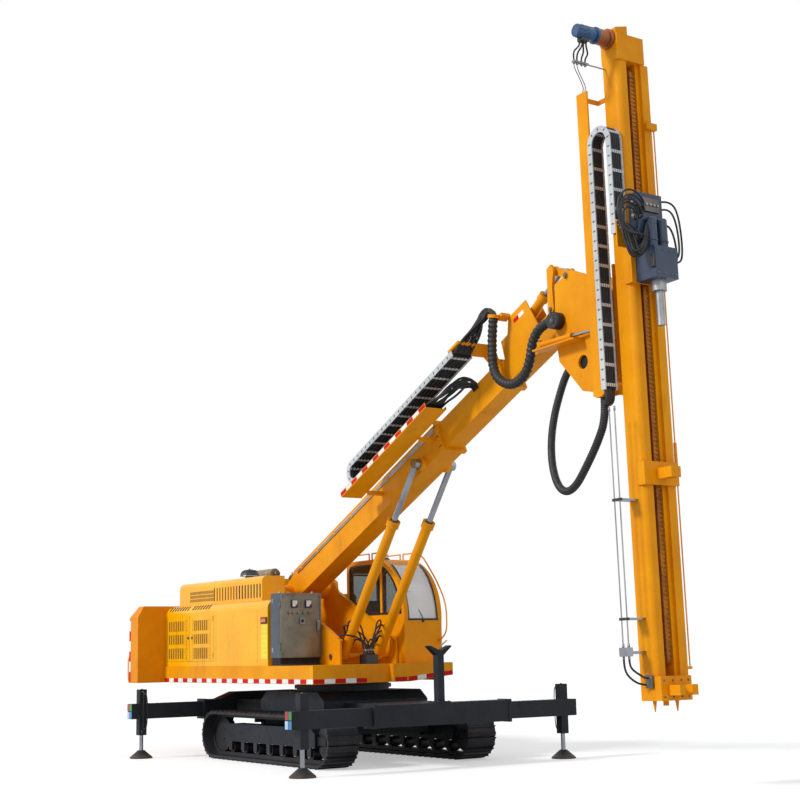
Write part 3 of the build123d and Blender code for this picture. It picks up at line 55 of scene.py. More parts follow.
tilt_pin = Vector((6.945 + shift_x, 0.0, 6.780))
lean = math.radians(1.19)

# Camera fitted to the photograph
camera_place = Vector((23.271 + shift_x, -14.234, 1.921))
camera_azimuth = math.radians(56.103)
camera_pitch = math.radians(9.859)
camera_roll = math.radians(-1.158)
camera_focal = 1443.5
frame_pixels = 800.0
sensor = 36.0

# Light and floor
world_fill = 0.52
floor_reach = 120.0
floor_drop = -0.004

scene = bpy.context.scene


def add_camera():
    """The photograph's camera, from its fitted place and turns."""
    right = Vector((math.cos(camera_azimuth), math.sin(camera_azimuth), 0.0))
    forward = Vector((
        -math.sin(camera_azimuth) * math.cos(camera_pitch),
        math.cos(camera_azimuth) * math.cos(camera_pitch),
        math.sin(camera_pitch),
    ))
    up = right.cross(forward)
    rolled_right = right * math.cos(camera_roll) + up * math.sin(camera_roll)
    rolled_up = -right * math.sin(camera_roll) + up * math.cos(camera_roll)
    data = bpy.data.cameras.new("camera")
    data.sensor_width = sensor
    data.lens = camera_focal / frame_pixels * sensor
    data.clip_end = 500.0
    camera = bpy.data.objects.new("camera", data)
    scene.collection.objects.link(camera)
    turn = Matrix((rolled_right, rolled_up, -forward)).transposed()
    camera.matrix_world = Matrix.Translation(camera_place) @ turn.to_4x4()
    scene.camera = camera


def add_sun(name, direction, strength, softness):
    """A soft sun that shines along a direction."""
    data = bpy.data.lights.new(name, "SUN")
    data.energy = strength
    data.angle = math.radians(softness)
    lamp = bpy.data.objects.new(name, data)
    lamp.rotation_euler = Vector(direction).to_track_quat("-Z", "Y").to_euler()
    scene.collection.objects.link(lamp)


def fresh_nodes(tree, *kinds):
    """Empties a node tree and makes the shader nodes of the given kinds."""
    tree.nodes.clear()
    return [tree.nodes.new("ShaderNode" + kind) for kind in kinds]


def add_world():
    """A pale world that is white to the camera and in reflections."""
    world = bpy.data.worlds.new("studio")
    scene.world = world
    world.use_nodes = True
    tree = world.node_tree
    out, path, mix, fill, white, through, seen = fresh_nodes(
        tree, "OutputWorld", "LightPath", "MixShader", "Background", "Background", "Math", "Math",
    )
    fill.inputs["Color"].default_value = (0.93, 0.96, 1.0, 1.0)
    fill.inputs["Strength"].default_value = world_fill
    white.inputs["Color"].default_value = (1.0, 1.0, 1.0, 1.0)
    white.inputs["Strength"].default_value = 1.0
    through.operation = seen.operation = "MAXIMUM"
    for source, target in (
        (path.outputs["Is Glossy Ray"], through.inputs[0]),
        (path.outputs["Is Transmission Ray"], through.inputs[1]),
        (path.outputs["Is Camera Ray"], seen.inputs[0]), (through.outputs[0], seen.inputs[1]),
        (seen.outputs[0], mix.inputs["Fac"]), (fill.outputs[0], mix.inputs[1]),
        (white.outputs[0], mix.inputs[2]), (mix.outputs[0], out.inputs["Surface"]),
    ):
        tree.links.new(source, target)


def add_floor():
    """A pale floor that keeps the rig's shadow."""
    mesh = bpy.data.meshes.new("floor")
    reach = floor_reach
    corners = [(-reach, -reach, 0), (reach, -reach, 0), (reach, reach, 0), (-reach, reach, 0)]
    mesh.from_pydata(corners, [], [(0, 1, 2, 3)])
    floor = bpy.data.objects.new("floor", mesh)
    floor.location.z = floor_drop
    scene.collection.objects.link(floor)
    material = bpy.data.materials.new("floor_pale")
    material.use_nodes = True
    tree = material.node_tree
    out, diffuse, glow, add, path, mix = fresh_nodes(
        tree, "OutputMaterial", "BsdfDiffuse", "Emission", "AddShader", "LightPath", "MixShader",
    )
    diffuse.inputs["Color"].default_value = (0.72, 0.72, 0.72, 1.0)
    glow.inputs["Strength"].default_value = 0.42
    for source, target in (
        (diffuse.outputs[0], add.inputs[0]), (glow.outputs[0], add.inputs[1]),
        (path.outputs["Is Camera Ray"], mix.inputs["Fac"]), (diffuse.outputs[0], mix.inputs[1]),
        (add.outputs[0], mix.inputs[2]), (mix.outputs[0], out.inputs["Surface"]),
    ):
        tree.links.new(source, target)
    mesh.materials.append(material)


# Materials


class Look:
    """A small helper that lays out one procedural material."""

    def __init__(self, name):
        self.material = bpy.data.materials.new(name)
        self.material.use_nodes = True
        self.tree = self.material.node_tree
        self.shader = self.tree.nodes["Principled BSDF"]
        self.place = self.tree.nodes.new("ShaderNodeTexCoord")

    def node(self, kind, **values):
        made = self.tree.nodes.new(kind)
        for key, value in values.items():
            setattr(made, key, value)
        return made

    def link(self, source, target):
        self.tree.links.new(source, target)

    def set(self, **values):
        for key, value in values.items():
            self.shader.inputs[key.replace("_", " ")].default_value = value

    def noise(self, scale, detail=4.0, rough=0.6, stretch=None):
        made = self.node("ShaderNodeTexNoise")
        made.inputs["Scale"].default_value = scale
        made.inputs["Detail"].default_value = detail
        made.inputs["Roughness"].default_value = rough
        if stretch:
            mapping = self.node("ShaderNodeMapping")
            mapping.inputs["Scale"].default_value = stretch
            self.link(self.place.outputs["Object"], mapping.inputs["Vector"])
            self.link(mapping.outputs[0], made.inputs["Vector"])
        else:
            self.link(self.place.outputs["Object"], made.inputs["Vector"])
        return made.outputs["Fac"]

    def mix(self, factor, first, second):
        made = self.node("ShaderNodeMix", data_type="RGBA")
        self.link(factor, made.inputs["Factor"])
        for index, value in ((6, first), (7, second)):
            if isinstance(value, tuple):
                made.inputs[index].default_value = value
            else:
                self.link(value, made.inputs[index])
        return made.outputs[2]

    def span(self, source, low_in, high_in, low_out, high_out):
        made = self.node("ShaderNodeMapRange")
        self.link(source, made.inputs["Value"])
        made.inputs["From Min"].default_value = low_in
        made.inputs["From Max"].default_value = high_in
        made.inputs["To Min"].default_value = low_out
        made.inputs["To Max"].default_value = high_out
        return made.outputs[0]

    def bump(self, source, strength, distance):
        made = self.node("ShaderNodeBump")
        made.inputs["Strength"].default_value = strength
        made.inputs["Distance"].default_value = distance
        self.link(source, made.inputs["Height"])
        self.link(made.outputs[0], self.shader.inputs["Normal"])

    def edges(self):
        """High close to a sharp edge."""
        geometry = self.node("ShaderNodeNewGeometry")
        soft = self.node("ShaderNodeBevel", samples=4)
        soft.inputs["Radius"].default_value = 0.012
        turn = self.node("ShaderNodeVectorMath", operation="DOT_PRODUCT")
        self.link(soft.outputs[0], turn.inputs[0])
        self.link(geometry.outputs["True Normal"], turn.inputs[1])
        return self.span(turn.outputs["Value"], 0.80, 0.97, 1.0, 0.0)

    def height(self):
        """The height over the ground, for dust."""
        split = self.node("ShaderNodeSeparateXYZ")
        self.link(self.place.outputs["Object"], split.inputs[0])
        return split.outputs["Z"]


def rgb(red, green, blue):
    """A colour as seen on screen, from 0 to 255, as Blender's linear colour."""
    def linear(value):
        value /= 255.0
        return value / 12.92 if value <= 0.04045 else ((value + 0.055) / 1.055) ** 2.4
    return (linear(red), linear(green), linear(blue), 1.0)


def paint(name, colour, dark, rough=0.38, coat=0.25, dust=None, dust_top=1.4, chips=None, shine=0.5):
    """Sprayed machine paint: soft mottling, orange peel, grime and worn edges."""
    look = Look(name)
    dark = rgb(*dark)
    tone = look.mix(look.span(look.noise(1.3, 5.0, 0.6), 0.35, 0.7, 0.0, 1.0), rgb(*colour), dark)
    grime = look.span(look.noise(3.0, 8.0, 0.7, (1.0, 1.0, 0.25)), 0.56, 0.75, 0.0, 0.45)
    tone = look.mix(grime, tone, tuple(c * 0.45 for c in dark[:3]) + (1.0,))
    if chips:
        spots = look.noise(34.0, 3.0, 0.6)
        worn = look.node("ShaderNodeMath", operation="MULTIPLY")
        look.link(look.span(spots, 0.50, 0.60, 0.0, 0.7), worn.inputs[0])
        look.link(look.edges(), worn.inputs[1])
        tone = look.mix(worn.outputs[0], tone, rgb(*chips))
    if dust:
        low = look.node("ShaderNodeMath", operation="MULTIPLY")
        look.link(look.span(look.height(), 0.0, dust_top, 0.4, 0.0), low.inputs[0])
        look.link(look.span(look.noise(5.0, 6.0, 0.7), 0.3, 0.7, 0.2, 1.0), low.inputs[1])
        tone = look.mix(low.outputs[0], tone, rgb(*dust))
    look.link(tone, look.shader.inputs["Base Color"])
    uneven = look.span(look.noise(9.0, 5.0), 0.3, 0.7, rough - 0.08, rough + 0.14)
    look.link(uneven, look.shader.inputs["Roughness"])
    look.set(Coat_Weight=coat, Coat_Roughness=0.18, Specular_IOR_Level=shine)
    look.bump(look.noise(160.0, 2.0), 0.06, 0.002)
    return look.material


def metal(name, colour, dark, rough=0.3, metallic=1.0, stretch=None, scale=30.0):
    """Bare metal with fine scratches and stains."""
    look = Look(name)
    tone = look.mix(look.span(look.noise(2.2, 6.0, 0.65), 0.35, 0.7, 0.0, 1.0), rgb(*colour), rgb(*dark))
    look.link(tone, look.shader.inputs["Base Color"])
    uneven = look.span(look.noise(scale, 4.0, 0.6, stretch), 0.3, 0.7, rough - 0.1, rough + 0.15)
    look.link(uneven, look.shader.inputs["Roughness"])
    look.set(Metallic=metallic)
    look.bump(look.noise(scale * 3, 3.0, 0.6, stretch), 0.12, 0.002)
    return look.material


def dull(name, colour, dark, rough=0.65, bump=0.15, scale=60.0):
    """Rubber, plastic or cast surfaces with a fine grain."""
    look = Look(name)
    tone = look.mix(look.span(look.noise(3.0, 6.0, 0.65), 0.35, 0.7, 0.0, 1.0), rgb(*colour), rgb(*dark))
    look.link(tone, look.shader.inputs["Base Color"])
    uneven = look.span(look.noise(12.0, 4.0), 0.3, 0.7, rough - 0.12, rough + 0.12)
    look.link(uneven, look.shader.inputs["Roughness"])
    look.bump(look.noise(scale, 3.0), bump, 0.003)
    return look.material


yellow = paint("yellow_paint", (240, 160, 0), (226, 140, 0), 0.46, 0.06, chips=(150, 104, 40), shine=0.16)
hood_paint = paint("hood_paint", (248, 184, 0), (242, 168, 0), 0.3, chips=(150, 104, 40), shine=0.25)
weight_paint = paint("weight_paint", (236, 148, 0), (220, 130, 0), 0.46, 0.06, chips=(130, 90, 36), shine=0.16)
charcoal = paint("charcoal_paint", (36, 41, 48), (25, 29, 34), 0.5, 0.05, dust=(150, 132, 105), dust_top=0.12,
                 chips=(88, 86, 82), shine=0.2)
slate = paint("slate_paint", (62, 74, 86), (48, 58, 70), 0.4, 0.2)
black_paint = paint("black_paint", (34, 35, 38), (24, 25, 27), 0.42, 0.2)
head_paint = paint("head_paint", (46, 64, 92), (32, 46, 70), 0.4, 0.2)
blue_paint = paint("blue_paint", (34, 84, 132), (24, 62, 102), 0.35, 0.3)
track_steel = metal("track_steel", (62, 62, 66), (44, 42, 43), 0.5, 0.6)
chain_brown = metal("chain_brown", (188, 118, 40), (128, 80, 34), 0.5, 0.6)
chain_silver = paint("chain_silver", (204, 208, 210), (176, 181, 184), 0.35, 0.3)
chrome = metal("chrome", (172, 176, 182), (136, 141, 148), 0.2, stretch=(40.0, 40.0, 2.0), scale=8.0)
stainless = metal("stainless", (132, 130, 118), (100, 98, 86), 0.36, 0.7, (30.0, 30.0, 1.0), 9.0)
zinc = metal("zinc", (168, 170, 172), (132, 134, 138), 0.42, 0.8)
copper = metal("copper_paint", (176, 108, 66), (132, 76, 46), 0.4, 0.6)
black_plastic = dull("black_plastic", (30, 31, 33), (20, 21, 23), 0.5)

tape_red = paint("tape_red", (214, 20, 18), (182, 14, 14), 0.4, 0.0, shine=0.15)
tape_white = paint("tape_white", (244, 244, 244), (222, 222, 222), 0.4, 0.0, shine=0.2)
# Near black, for dark seams and for painted shade: plates in slots and recesses that stand in for the shade
# inside them.
seam_dark_and_painted_shade = dull("seam_dark_and_painted_shade", (14, 14, 15), (8, 8, 9), 0.8)
bolt_steel = metal("bolt_steel", (120, 116, 110), (84, 80, 76), 0.45, 0.8)
lamp_amber, lamp_red, lamp_blue, lamp_green, lamp_white = (
    paint(name, colour, dark, 0.12, 0.6) for name, colour, dark in (
        ("lamp_amber", (238, 110, 14), (214, 88, 8)), ("lamp_red", (196, 24, 22), (160, 16, 16)),
        ("lamp_blue", (50, 150, 214), (30, 110, 180)), ("lamp_green", (44, 152, 74), (28, 116, 54)),
        ("lamp_white", (196, 226, 240), (150, 196, 224)),
    )
)
lime_strip = paint("lime_strip", (240, 226, 30), (224, 206, 20), 0.3)
hose_black = dull("hose_black", (30, 30, 32), (18, 18, 20), 0.55, 0.25, 120.0)
intake_tan = paint("intake_tan", (150, 128, 96), (112, 92, 66), 0.5, 0.1)


def glass_look(name, tint, clear):
    """Tinted window glass that shows more or less of the inside."""
    look = Look(name)
    look.set(Base_Color=tint, Transmission_Weight=clear, IOR=1.3)
    look.link(look.span(look.noise(2.0, 4.0), 0.3, 0.7, 0.01, 0.05), look.shader.inputs["Roughness"])
    look.bump(look.noise(1.2, 2.0), 0.02, 0.002)
    return look.material


# The windscreen glass is near white as a painted reflection: its white stands in for the sky's glare on the
# shaded panes.
front_glass_painted_reflection = glass_look("front_glass_painted_reflection", rgb(250, 252, 252), 0.30)
side_glass = glass_look("side_glass", rgb(168, 178, 178), 0.96)


def look_for(node):
    """The material for one CAD node, by its name."""
    table = (
        (("carrier_body", "track_frames", "outrigger_beams", "boom_rest"), charcoal),
        (("outrigger_arm", "jack_leg"), charcoal),
        (("running_gear", "track_", "slewing_ring"), track_steel),
        (("feed_chain",), chain_brown),
        (("luff_rods", "tilt_rod", "swing_rod", "mast_pipes"), chrome),
        (("drill_spindle",), zinc),
        (("engine_hood", "upper_hood"), hood_paint),
        (("counterweight",), weight_paint),
        (("control_cabinet", "cabinet_door"), stainless),
        (("boom_chain", "mast_chain"), black_plastic),
        (("valve_block", "air_cleaner", "engine_block"), black_paint),
        (("cab_fittings",), black_plastic),
        (("feed_motor",), blue_paint),
        (("power_head",), head_paint),
    )
    for names, material in table:
        if any(node.startswith(name) for name in names):
            return material
    return yellow


for name, shown in nodes.items():
    shown.data.materials.clear()
    shown.data.materials.append(look_for(name))


def second_look(name, material, belongs):
    """Another material on the faces of a CAD node whose middle, in the machine's frame, belongs to it."""
    shown = nodes[name]
    shown.data.materials.append(material)
    for face in shown.data.polygons:
        middle = shown.matrix_world @ face.center
        if belongs(middle.x - shift_x, middle.y, middle.z):
            face.material_index = len(shown.data.materials) - 1


for place in ("front", "rear"):
    for side in ("right", "left"):
        second_look(f"jack_leg_{place}_{side}", chrome, lambda x, y, z: z > 0.16)
second_look("feed_motor", copper, lambda x, y, z: y > -0.565)
second_look("air_cleaner", intake_tan, lambda x, y, z: y > -0.42)
second_look("control_cabinet", slate, lambda x, y, z: y < -1.475)
second_look("power_head", yellow, lambda x, y, z: x < 8.58)

# Making pieces


boom_frame = Matrix.Translation(boom_foot) @ Matrix.Rotation(-luff, 4, "Y")
mast_frame = (
    Matrix.Translation(tilt_pin) @ Matrix.Rotation(-lean, 4, "Y") @ Matrix.Translation(-tilt_pin)
    @ Matrix.Translation((shift_x, 0.0, 0.0))
)
rig_frame = Matrix.Translation((shift_x, 0.0, 0.0))


def circle(centre, side, other, radius, count, shift=0.0):
    """Points evenly round a centre, in the plane of two directions."""
    turns = [2 * math.pi * (step + shift) / count for step in range(count)]
    return [centre + side * (radius * math.cos(turn)) + other * (radius * math.sin(turn)) for turn in turns]


def loft_faces(rings, count):
    """The walls between rings of points, then the two end caps."""
    faces = []
    for start in range(0, (rings - 1) * count, count):
        for i in range(count):
            after = (i + 1) % count
            faces.append((start + i, start + after, start + count + after, start + count + i))
    last = (rings - 1) * count
    return faces + [tuple(reversed(range(count))), tuple(range(last, last + count))]


class Piece:
    """Collects small forms into one mesh that rides on a CAD body."""

    def __init__(self, name, body, place=rig_frame):
        self.name = name
        self.body = body
        self.place = place
        self.mesh = bmesh.new()
        self.materials = []

    def slot(self, material):
        if material not in self.materials:
            self.materials.append(material)
        return self.materials.index(material)

    def skin(self, points, faces, material, smooth=0):
        """Faces between points, the first so many of them smooth."""
        index = self.slot(material)
        made = [self.mesh.verts.new(self.place @ Vector(point)) for point in points]
        for number, face in enumerate(faces):
            new = self.mesh.faces.new([made[i] for i in face])
            new.material_index = index
            new.smooth = number < smooth

    def box(self, x0, x1, y0, y1, z0, z1, material, edge=0.0):
        """A box with small chamfers round all its edges."""
        edge = min(edge, (x1 - x0) / 3, (y1 - y0) / 3, (z1 - z0) / 3)
        if edge <= 0.0:
            points = [(x, y, z) for z in (z0, z1) for y in (y0, y1) for x in (x0, x1)]
            sides = [(0, 2, 3, 1), (4, 5, 7, 6), (0, 1, 5, 4), (2, 6, 7, 3), (0, 4, 6, 2), (1, 3, 7, 5)]
            self.skin(points, sides, material)
            return
        part = bmesh.new()
        bmesh.ops.create_cube(part, size=1.0)
        for vert in part.verts:
            vert.co = Vector((
                x0 + (vert.co.x + 0.5) * (x1 - x0),
                y0 + (vert.co.y + 0.5) * (y1 - y0),
                z0 + (vert.co.z + 0.5) * (z1 - z0),
            ))
        bmesh.ops.bevel(part, geom=part.edges[:], offset=edge, segments=2, profile=0.5, affect="EDGES")
        part.verts.index_update()
        faces = [[vert.index for vert in face.verts] for face in part.faces]
        self.skin([vert.co for vert in part.verts], faces, material)
        part.free()

    def rod(self, start, end, radius, material, sides=16, end_radius=None):
        """A round bar or cone between two points."""
        start, end = Vector(start), Vector(end)
        top = radius if end_radius is None else end_radius
        axis = (end - start).normalized()
        side = axis.orthogonal().normalized()
        other = axis.cross(side)
        points = circle(start, side, other, radius, sides) + circle(end, side, other, top, sides)
        self.skin(points, loft_faces(2, sides), material, sides)

    def turned(self, place, axis, rows):
        """Round forms on one axis through a place: start, end, radius, material, sides and end radius."""
        for start, end, *form in rows:
            first, second = list(place), list(place)
            first[axis], second[axis] = start, end
            self.rod(first, second, *form)

    def tube(self, line, radius, material, sides=10, ribs=0.0, pitch=0.0):
        """A tube round a line of points, with ribs where a pitch is given."""
        if ribs > 0.0:
            line = even_line(line, pitch / 4)
        points = []
        side = None
        for number, centre in enumerate(line):
            before = line[max(number - 1, 0)]
            after = line[min(number + 1, len(line) - 1)]
            axis = (after - before).normalized()
            if side is None:
                side = axis.orthogonal().normalized()
            side = (side - axis * side.dot(axis)).normalized()
            size = radius * (1.0 - (ribs if number % 4 in (0, 1) else 0.0))
            points += circle(centre, side, axis.cross(side), size, sides)
        self.skin(points, loft_faces(len(line), sides), material, (len(line) - 1) * sides)

    def hose(self, route, radius, sides=8, steps=8):
        """A thin black hose on a smooth route."""
        self.tube(spline_line(route, steps), radius, hose_black, sides)

    def plate_y(self, outline, y0, y1, material):
        """A plate whose outline is a list of (x, z), from y0 to y1."""
        self.prism([(x, y0, z) for x, z in outline], [(x, y1, z) for x, z in outline], material)

    def plate_x(self, outline, x0, x1, material):
        """A plate whose outline is a list of (y, z), from x0 to x1."""
        self.prism([(x0, y, z) for y, z in outline], [(x1, y, z) for y, z in outline], material)

    def prism(self, first, second, material):
        """The walls between two like outlines, closed at both ends."""
        self.skin(list(first) + list(second), loft_faces(2, len(first)), material)

    def bolt(self, place, axis, size):
        """A hexagon head on a washer."""
        place, axis = Vector(place), Vector(axis).normalized()
        self.rod(place - axis * 0.002, place + axis * size * 0.15, size * 1.1, bolt_steel, 14)
        self.rod(place + axis * size * 0.1, place + axis * size * 0.75, size * 0.85, bolt_steel, 6)

    def bolt_ring(self, centre, axis, radius, count, size, shift=0.0):
        """Bolts evenly round a circle whose axis is Y or Z."""
        other = Vector((0, 1, 0)) if axis[2] else Vector((0, 0, 1))
        for spot in circle(Vector(centre), Vector((1, 0, 0)), other, radius, count, shift):
            self.bolt(spot, axis, size)

    def done(self):
        """The finished object, riding on its body."""
        bmesh.ops.recalc_face_normals(self.mesh, faces=self.mesh.faces[:])
        mesh = bpy.data.meshes.new(self.name)
        self.mesh.to_mesh(mesh)
        self.mesh.free()
        for material in self.materials:
            mesh.materials.append(material)
        made = bpy.data.objects.new(self.name, mesh)
        scene.collection.objects.link(made)
        if self.body:
            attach(made, self.body)
        return made


def even_line(line, spacing):
    """The same curve with evenly spaced points."""
    out = [line[0]]
    left = spacing
    for first, second in zip(line, line[1:]):
        length = (second - first).length
        done = 0.0
        while length - done >= left:
            done += left
            out.append(first.lerp(second, done / length))
            left = spacing
        left -= length - done
    out.append(line[-1])
    return out


def spline_line(points, steps=12):
    """Points read from a smooth spline that has the given points as its controls."""
    curve = bpy.data.curves.new("route", "CURVE")
    curve.dimensions = "3D"
    curve.resolution_u = steps
    spline = curve.splines.new("NURBS")
    spline.points.add(len(points) - 1)
    for control, point in zip(spline.points, points):
        control.co = (point[0], point[1], point[2], 1.0)
    spline.order_u = 3
    spline.use_endpoint_u = True
    holder = bpy.data.objects.new("route", curve)
    mesh = bpy.data.meshes.new_from_object(holder)
    line = [vert.co.copy() for vert in mesh.vertices]
    bpy.data.meshes.remove(mesh)
    bpy.data.objects.remove(holder)
    bpy.data.curves.remove(curve)
    return line


def extent(name):
    """A CAD node's lowest and highest corner in the machine's frame."""
    shown = nodes[name]
    corners = [shown.matrix_world @ vert.co for vert in shown.data.vertices]
    low = Vector([min(corner[axis] for corner in corners) for axis in range(3)])
    high = Vector([max(corner[axis] for corner in corners) for axis in range(3)])
    shift = Vector((shift_x, 0.0, 0.0))
    return low - shift, high - shift


# Hoses, on the same points as in the CAD

boom_hose_y = -0.405
boom_hose_radius = 0.078
boom_hose_route = [
    (5.411, 7.134), (5.372, 6.894), (5.352, 6.600), (5.362, 6.332), (5.500, 6.105), (5.828, 5.965),
    (6.146, 6.048), (6.306, 6.288), (6.365, 6.560), (6.560, 6.765), (6.795, 6.790),
]
mast_hose_radius = 0.060
mast_hose_route = [
    (7.530, -0.020, 6.240), (7.250, -0.040, 6.262), (6.960, -0.070, 6.200), (6.764, -0.100, 6.020),
    (6.622, -0.120, 5.750), (6.492, -0.150, 5.420), (6.446, -0.200, 5.038), (6.487, -0.240, 4.647),
    (6.639, -0.280, 4.320), (6.847, -0.300, 4.182), (7.113, -0.330, 4.242), (7.400, -0.360, 4.490),
    (7.700, -0.385, 4.800), (7.920, -0.400, 5.120), (7.920, -0.400, 5.430),
]


def add_hoses():
    """The two large ribbed hoses."""
    line = spline_line([(x, boom_hose_y, z) for x, z in boom_hose_route])
    hose = Piece("ribbed_boom_hose", "boom_tip")
    hose.tube(line, boom_hose_radius, hose_black, sides=20, ribs=0.13, pitch=0.078)
    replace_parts(hose.done(), "boom_hose")

    line = spline_line(mast_hose_route)
    hose = Piece("ribbed_mast_hose", "mast_carrier", mast_frame)
    hose.tube(line, mast_hose_radius, hose_black, sides=18, ribs=0.06, pitch=0.036)
    made = hose.done()
    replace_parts(made, "mast_hose")


# Red and white tape

tape_cell = 0.215
tape_thick = 0.002
tape_wide = 0.078
deck_side = 1.480
deck_front = 1.440
weight_rear = -5.065
weight_side = 2.070


def tape(piece, start, end, across, out, cell=tape_cell):
    """Red and white cells from start to end, as wide as across and standing out a little."""
    start, end = Vector(start), Vector(end)
    across, out = Vector(across), Vector(out) * tape_thick
    way = (end - start).normalized()
    length = (end - start).length
    count = max(1, round(length / cell))
    for number in range(count):
        a = start + way * (length * number / count)
        b = start + way * (length * (number + 1) / count)
        first = [a - out * 0.5, b - out * 0.5, b + across - out * 0.5, a + across - out * 0.5]
        second = [point + out * 1.5 for point in first]
        piece.prism(first, second, tape_red if number % 2 == 0 else tape_white)


def add_tapes():
    """Warning tape along the deck, the counterweight and the drag chain's tray."""
    strip = Piece("deck_tape", "upper")
    low, tall = 1.388, (0, 0, tape_wide)
    for side, end in ((-1.0, 1.43), (1.0, 1.03)):
        y = side * deck_side
        tape(strip, (-4.60, y, low), (end, y, low), tall, (0, side, 0))
        x, y = weight_rear, side * weight_side
        tape(strip, (x, y, 1.40), (x, y, 2.64), (0.075, 0, 0), (0, side, 0))
    for y0, y1, rise in ((-1.470, -0.385, 0.0), (0.215, 0.470, 0.0), (0.500, 1.470, 0.09)):
        tape(strip, (deck_front, y0, low), (deck_front, y1, low + rise), tall, (1, 0, 0))
    strip.done()
    for name, body, start, end, up, cell in (
        ("tray_tape", "boom_base", (3.46, -0.930, 0.118), (6.37, -0.930, 0.118), 0.062, 0.2),
        ("tip_tape", "boom_tip", (8.16, -0.151, 0.62), (8.44, -0.151, 0.62), 0.07, 0.14),
    ):
        strip = Piece(name, body, boom_frame)
        tape(strip, start, end, (0, 0, up), (0, -1, 0), cell)
        strip.done()


# Hood, cabinet and cab

pane_thick = 0.006
seal_width = 0.035


def ring_frame(outline, width, low, high, material, plate):
    """A flat frame along the inside of a closed outline."""
    count = len(outline)
    middle = [sum(point[axis] for point in outline) / count for axis in range(2)]
    inner = []
    for number, point in enumerate(outline):
        before, after = outline[number - 1], outline[(number + 1) % count]
        one = Vector((point[0] - before[0], point[1] - before[1])).normalized()
        two = Vector((after[0] - point[0], after[1] - point[1])).normalized()
        way = (one + two).normalized()
        normal = Vector((-way.y, way.x))
        if normal.dot(Vector((middle[0] - point[0], middle[1] - point[1]))) < 0:
            normal = -normal
        share = max(0.35, abs(normal.dot(Vector((-one.y, one.x)))))
        inner.append((point[0] + normal.x * width / share, point[1] + normal.y * width / share))
    for number in range(count):
        after = (number + 1) % count
        plate([outline[number], outline[after], inner[after], inner[number]], low, high, material)


def window(piece, outline, at, out, along="y"):
    """A pane of glass with a black seal on its outer side."""
    plate = piece.plate_y if along == "y" else piece.plate_x
    plate(outline, at - pane_thick / 2, at + pane_thick / 2, side_glass)
    ring_frame(outline, seal_width, *sorted((at, at + out)), black_plastic, plate)


def rectangle(a0, a1, b0, b1):
    """The four corners of an upright opening."""
    return [(a0, b0), (a1, b0), (a1, b1), (a0, b1)]


def add_cab():
    """Window panes and seals, the wiper, the roof lamp and the handle of the cab."""
    arc = [math.radians(turn) for turn in range(9, 91, 9)]
    side = [(0.18 + 0.856 * math.cos(turn), 2.42 + 1.126 * math.sin(turn)) for turn in arc]
    outline = [(-0.755, 2.595), (1.020, 2.595)] + side + [(-0.70, 3.548), (-0.755, 3.50)]
    panes = Piece("cab_panes", "upper")
    window(panes, outline, 0.652, -0.016)
    window(panes, rectangle(0.75, 1.36, 2.655, 3.415), -0.832, -0.022, "x")
    window(panes, rectangle(-0.755, -0.155, 2.595, 3.475), 1.458, 0.016)
    turns = [math.radians(3.0 + 61.0 * step / 14) for step in range(15)]
    # The curved windscreen, in the glass whose white is a painted reflection.
    for first, second in zip(turns, turns[1:]):
        for low, y0, y1, material in (
            (-0.020, 0.728, 1.382, front_glass_painted_reflection), (0.004, 0.716, 0.752, black_plastic),
            (0.004, 1.358, 1.394, black_plastic),
        ):
            high = low + pane_thick
            ring = [
                (0.18 + (0.95 + reach) * math.cos(turn), 2.42 + (1.22 + reach) * math.sin(turn))
                for reach, turn in ((low, first), (low, second), (high, second), (high, first))
            ]
            panes.plate_y(ring, y0, y1, material)
    panes.box(1.118, 1.138, 0.716, 1.394, 2.470, 2.506, black_plastic)
    panes.rod((1.142, 1.05, 2.500), (0.985, 0.86, 3.02), 0.007, black_plastic, 6)
    panes.rod((1.137, 1.05, 2.46), (1.150, 1.05, 2.46), 0.028, black_plastic)
    for form in (
        (0.80, 0.90, 0.96, 1.10, 3.44, 3.52, black_paint, 0.01),
        (0.05, 0.17, 0.84, 0.98, 3.642, 3.662, black_paint, 0.004),
        (0.07, 0.15, 0.85, 0.97, 3.660, 3.740, black_paint, 0.014),
        (0.148, 0.156, 0.862, 0.958, 3.670, 3.730, tape_white, 0.003),
    ):
        panes.box(*form)
    panes.done()
    door = Piece("door_panes", "cab_door")
    window(door, rectangle(0.035, 0.605, 2.485, 3.235), 1.452, 0.016)
    door.box(0.61, 0.65, 1.466, 1.482, 2.20, 2.50, black_plastic, 0.006)
    door.done()


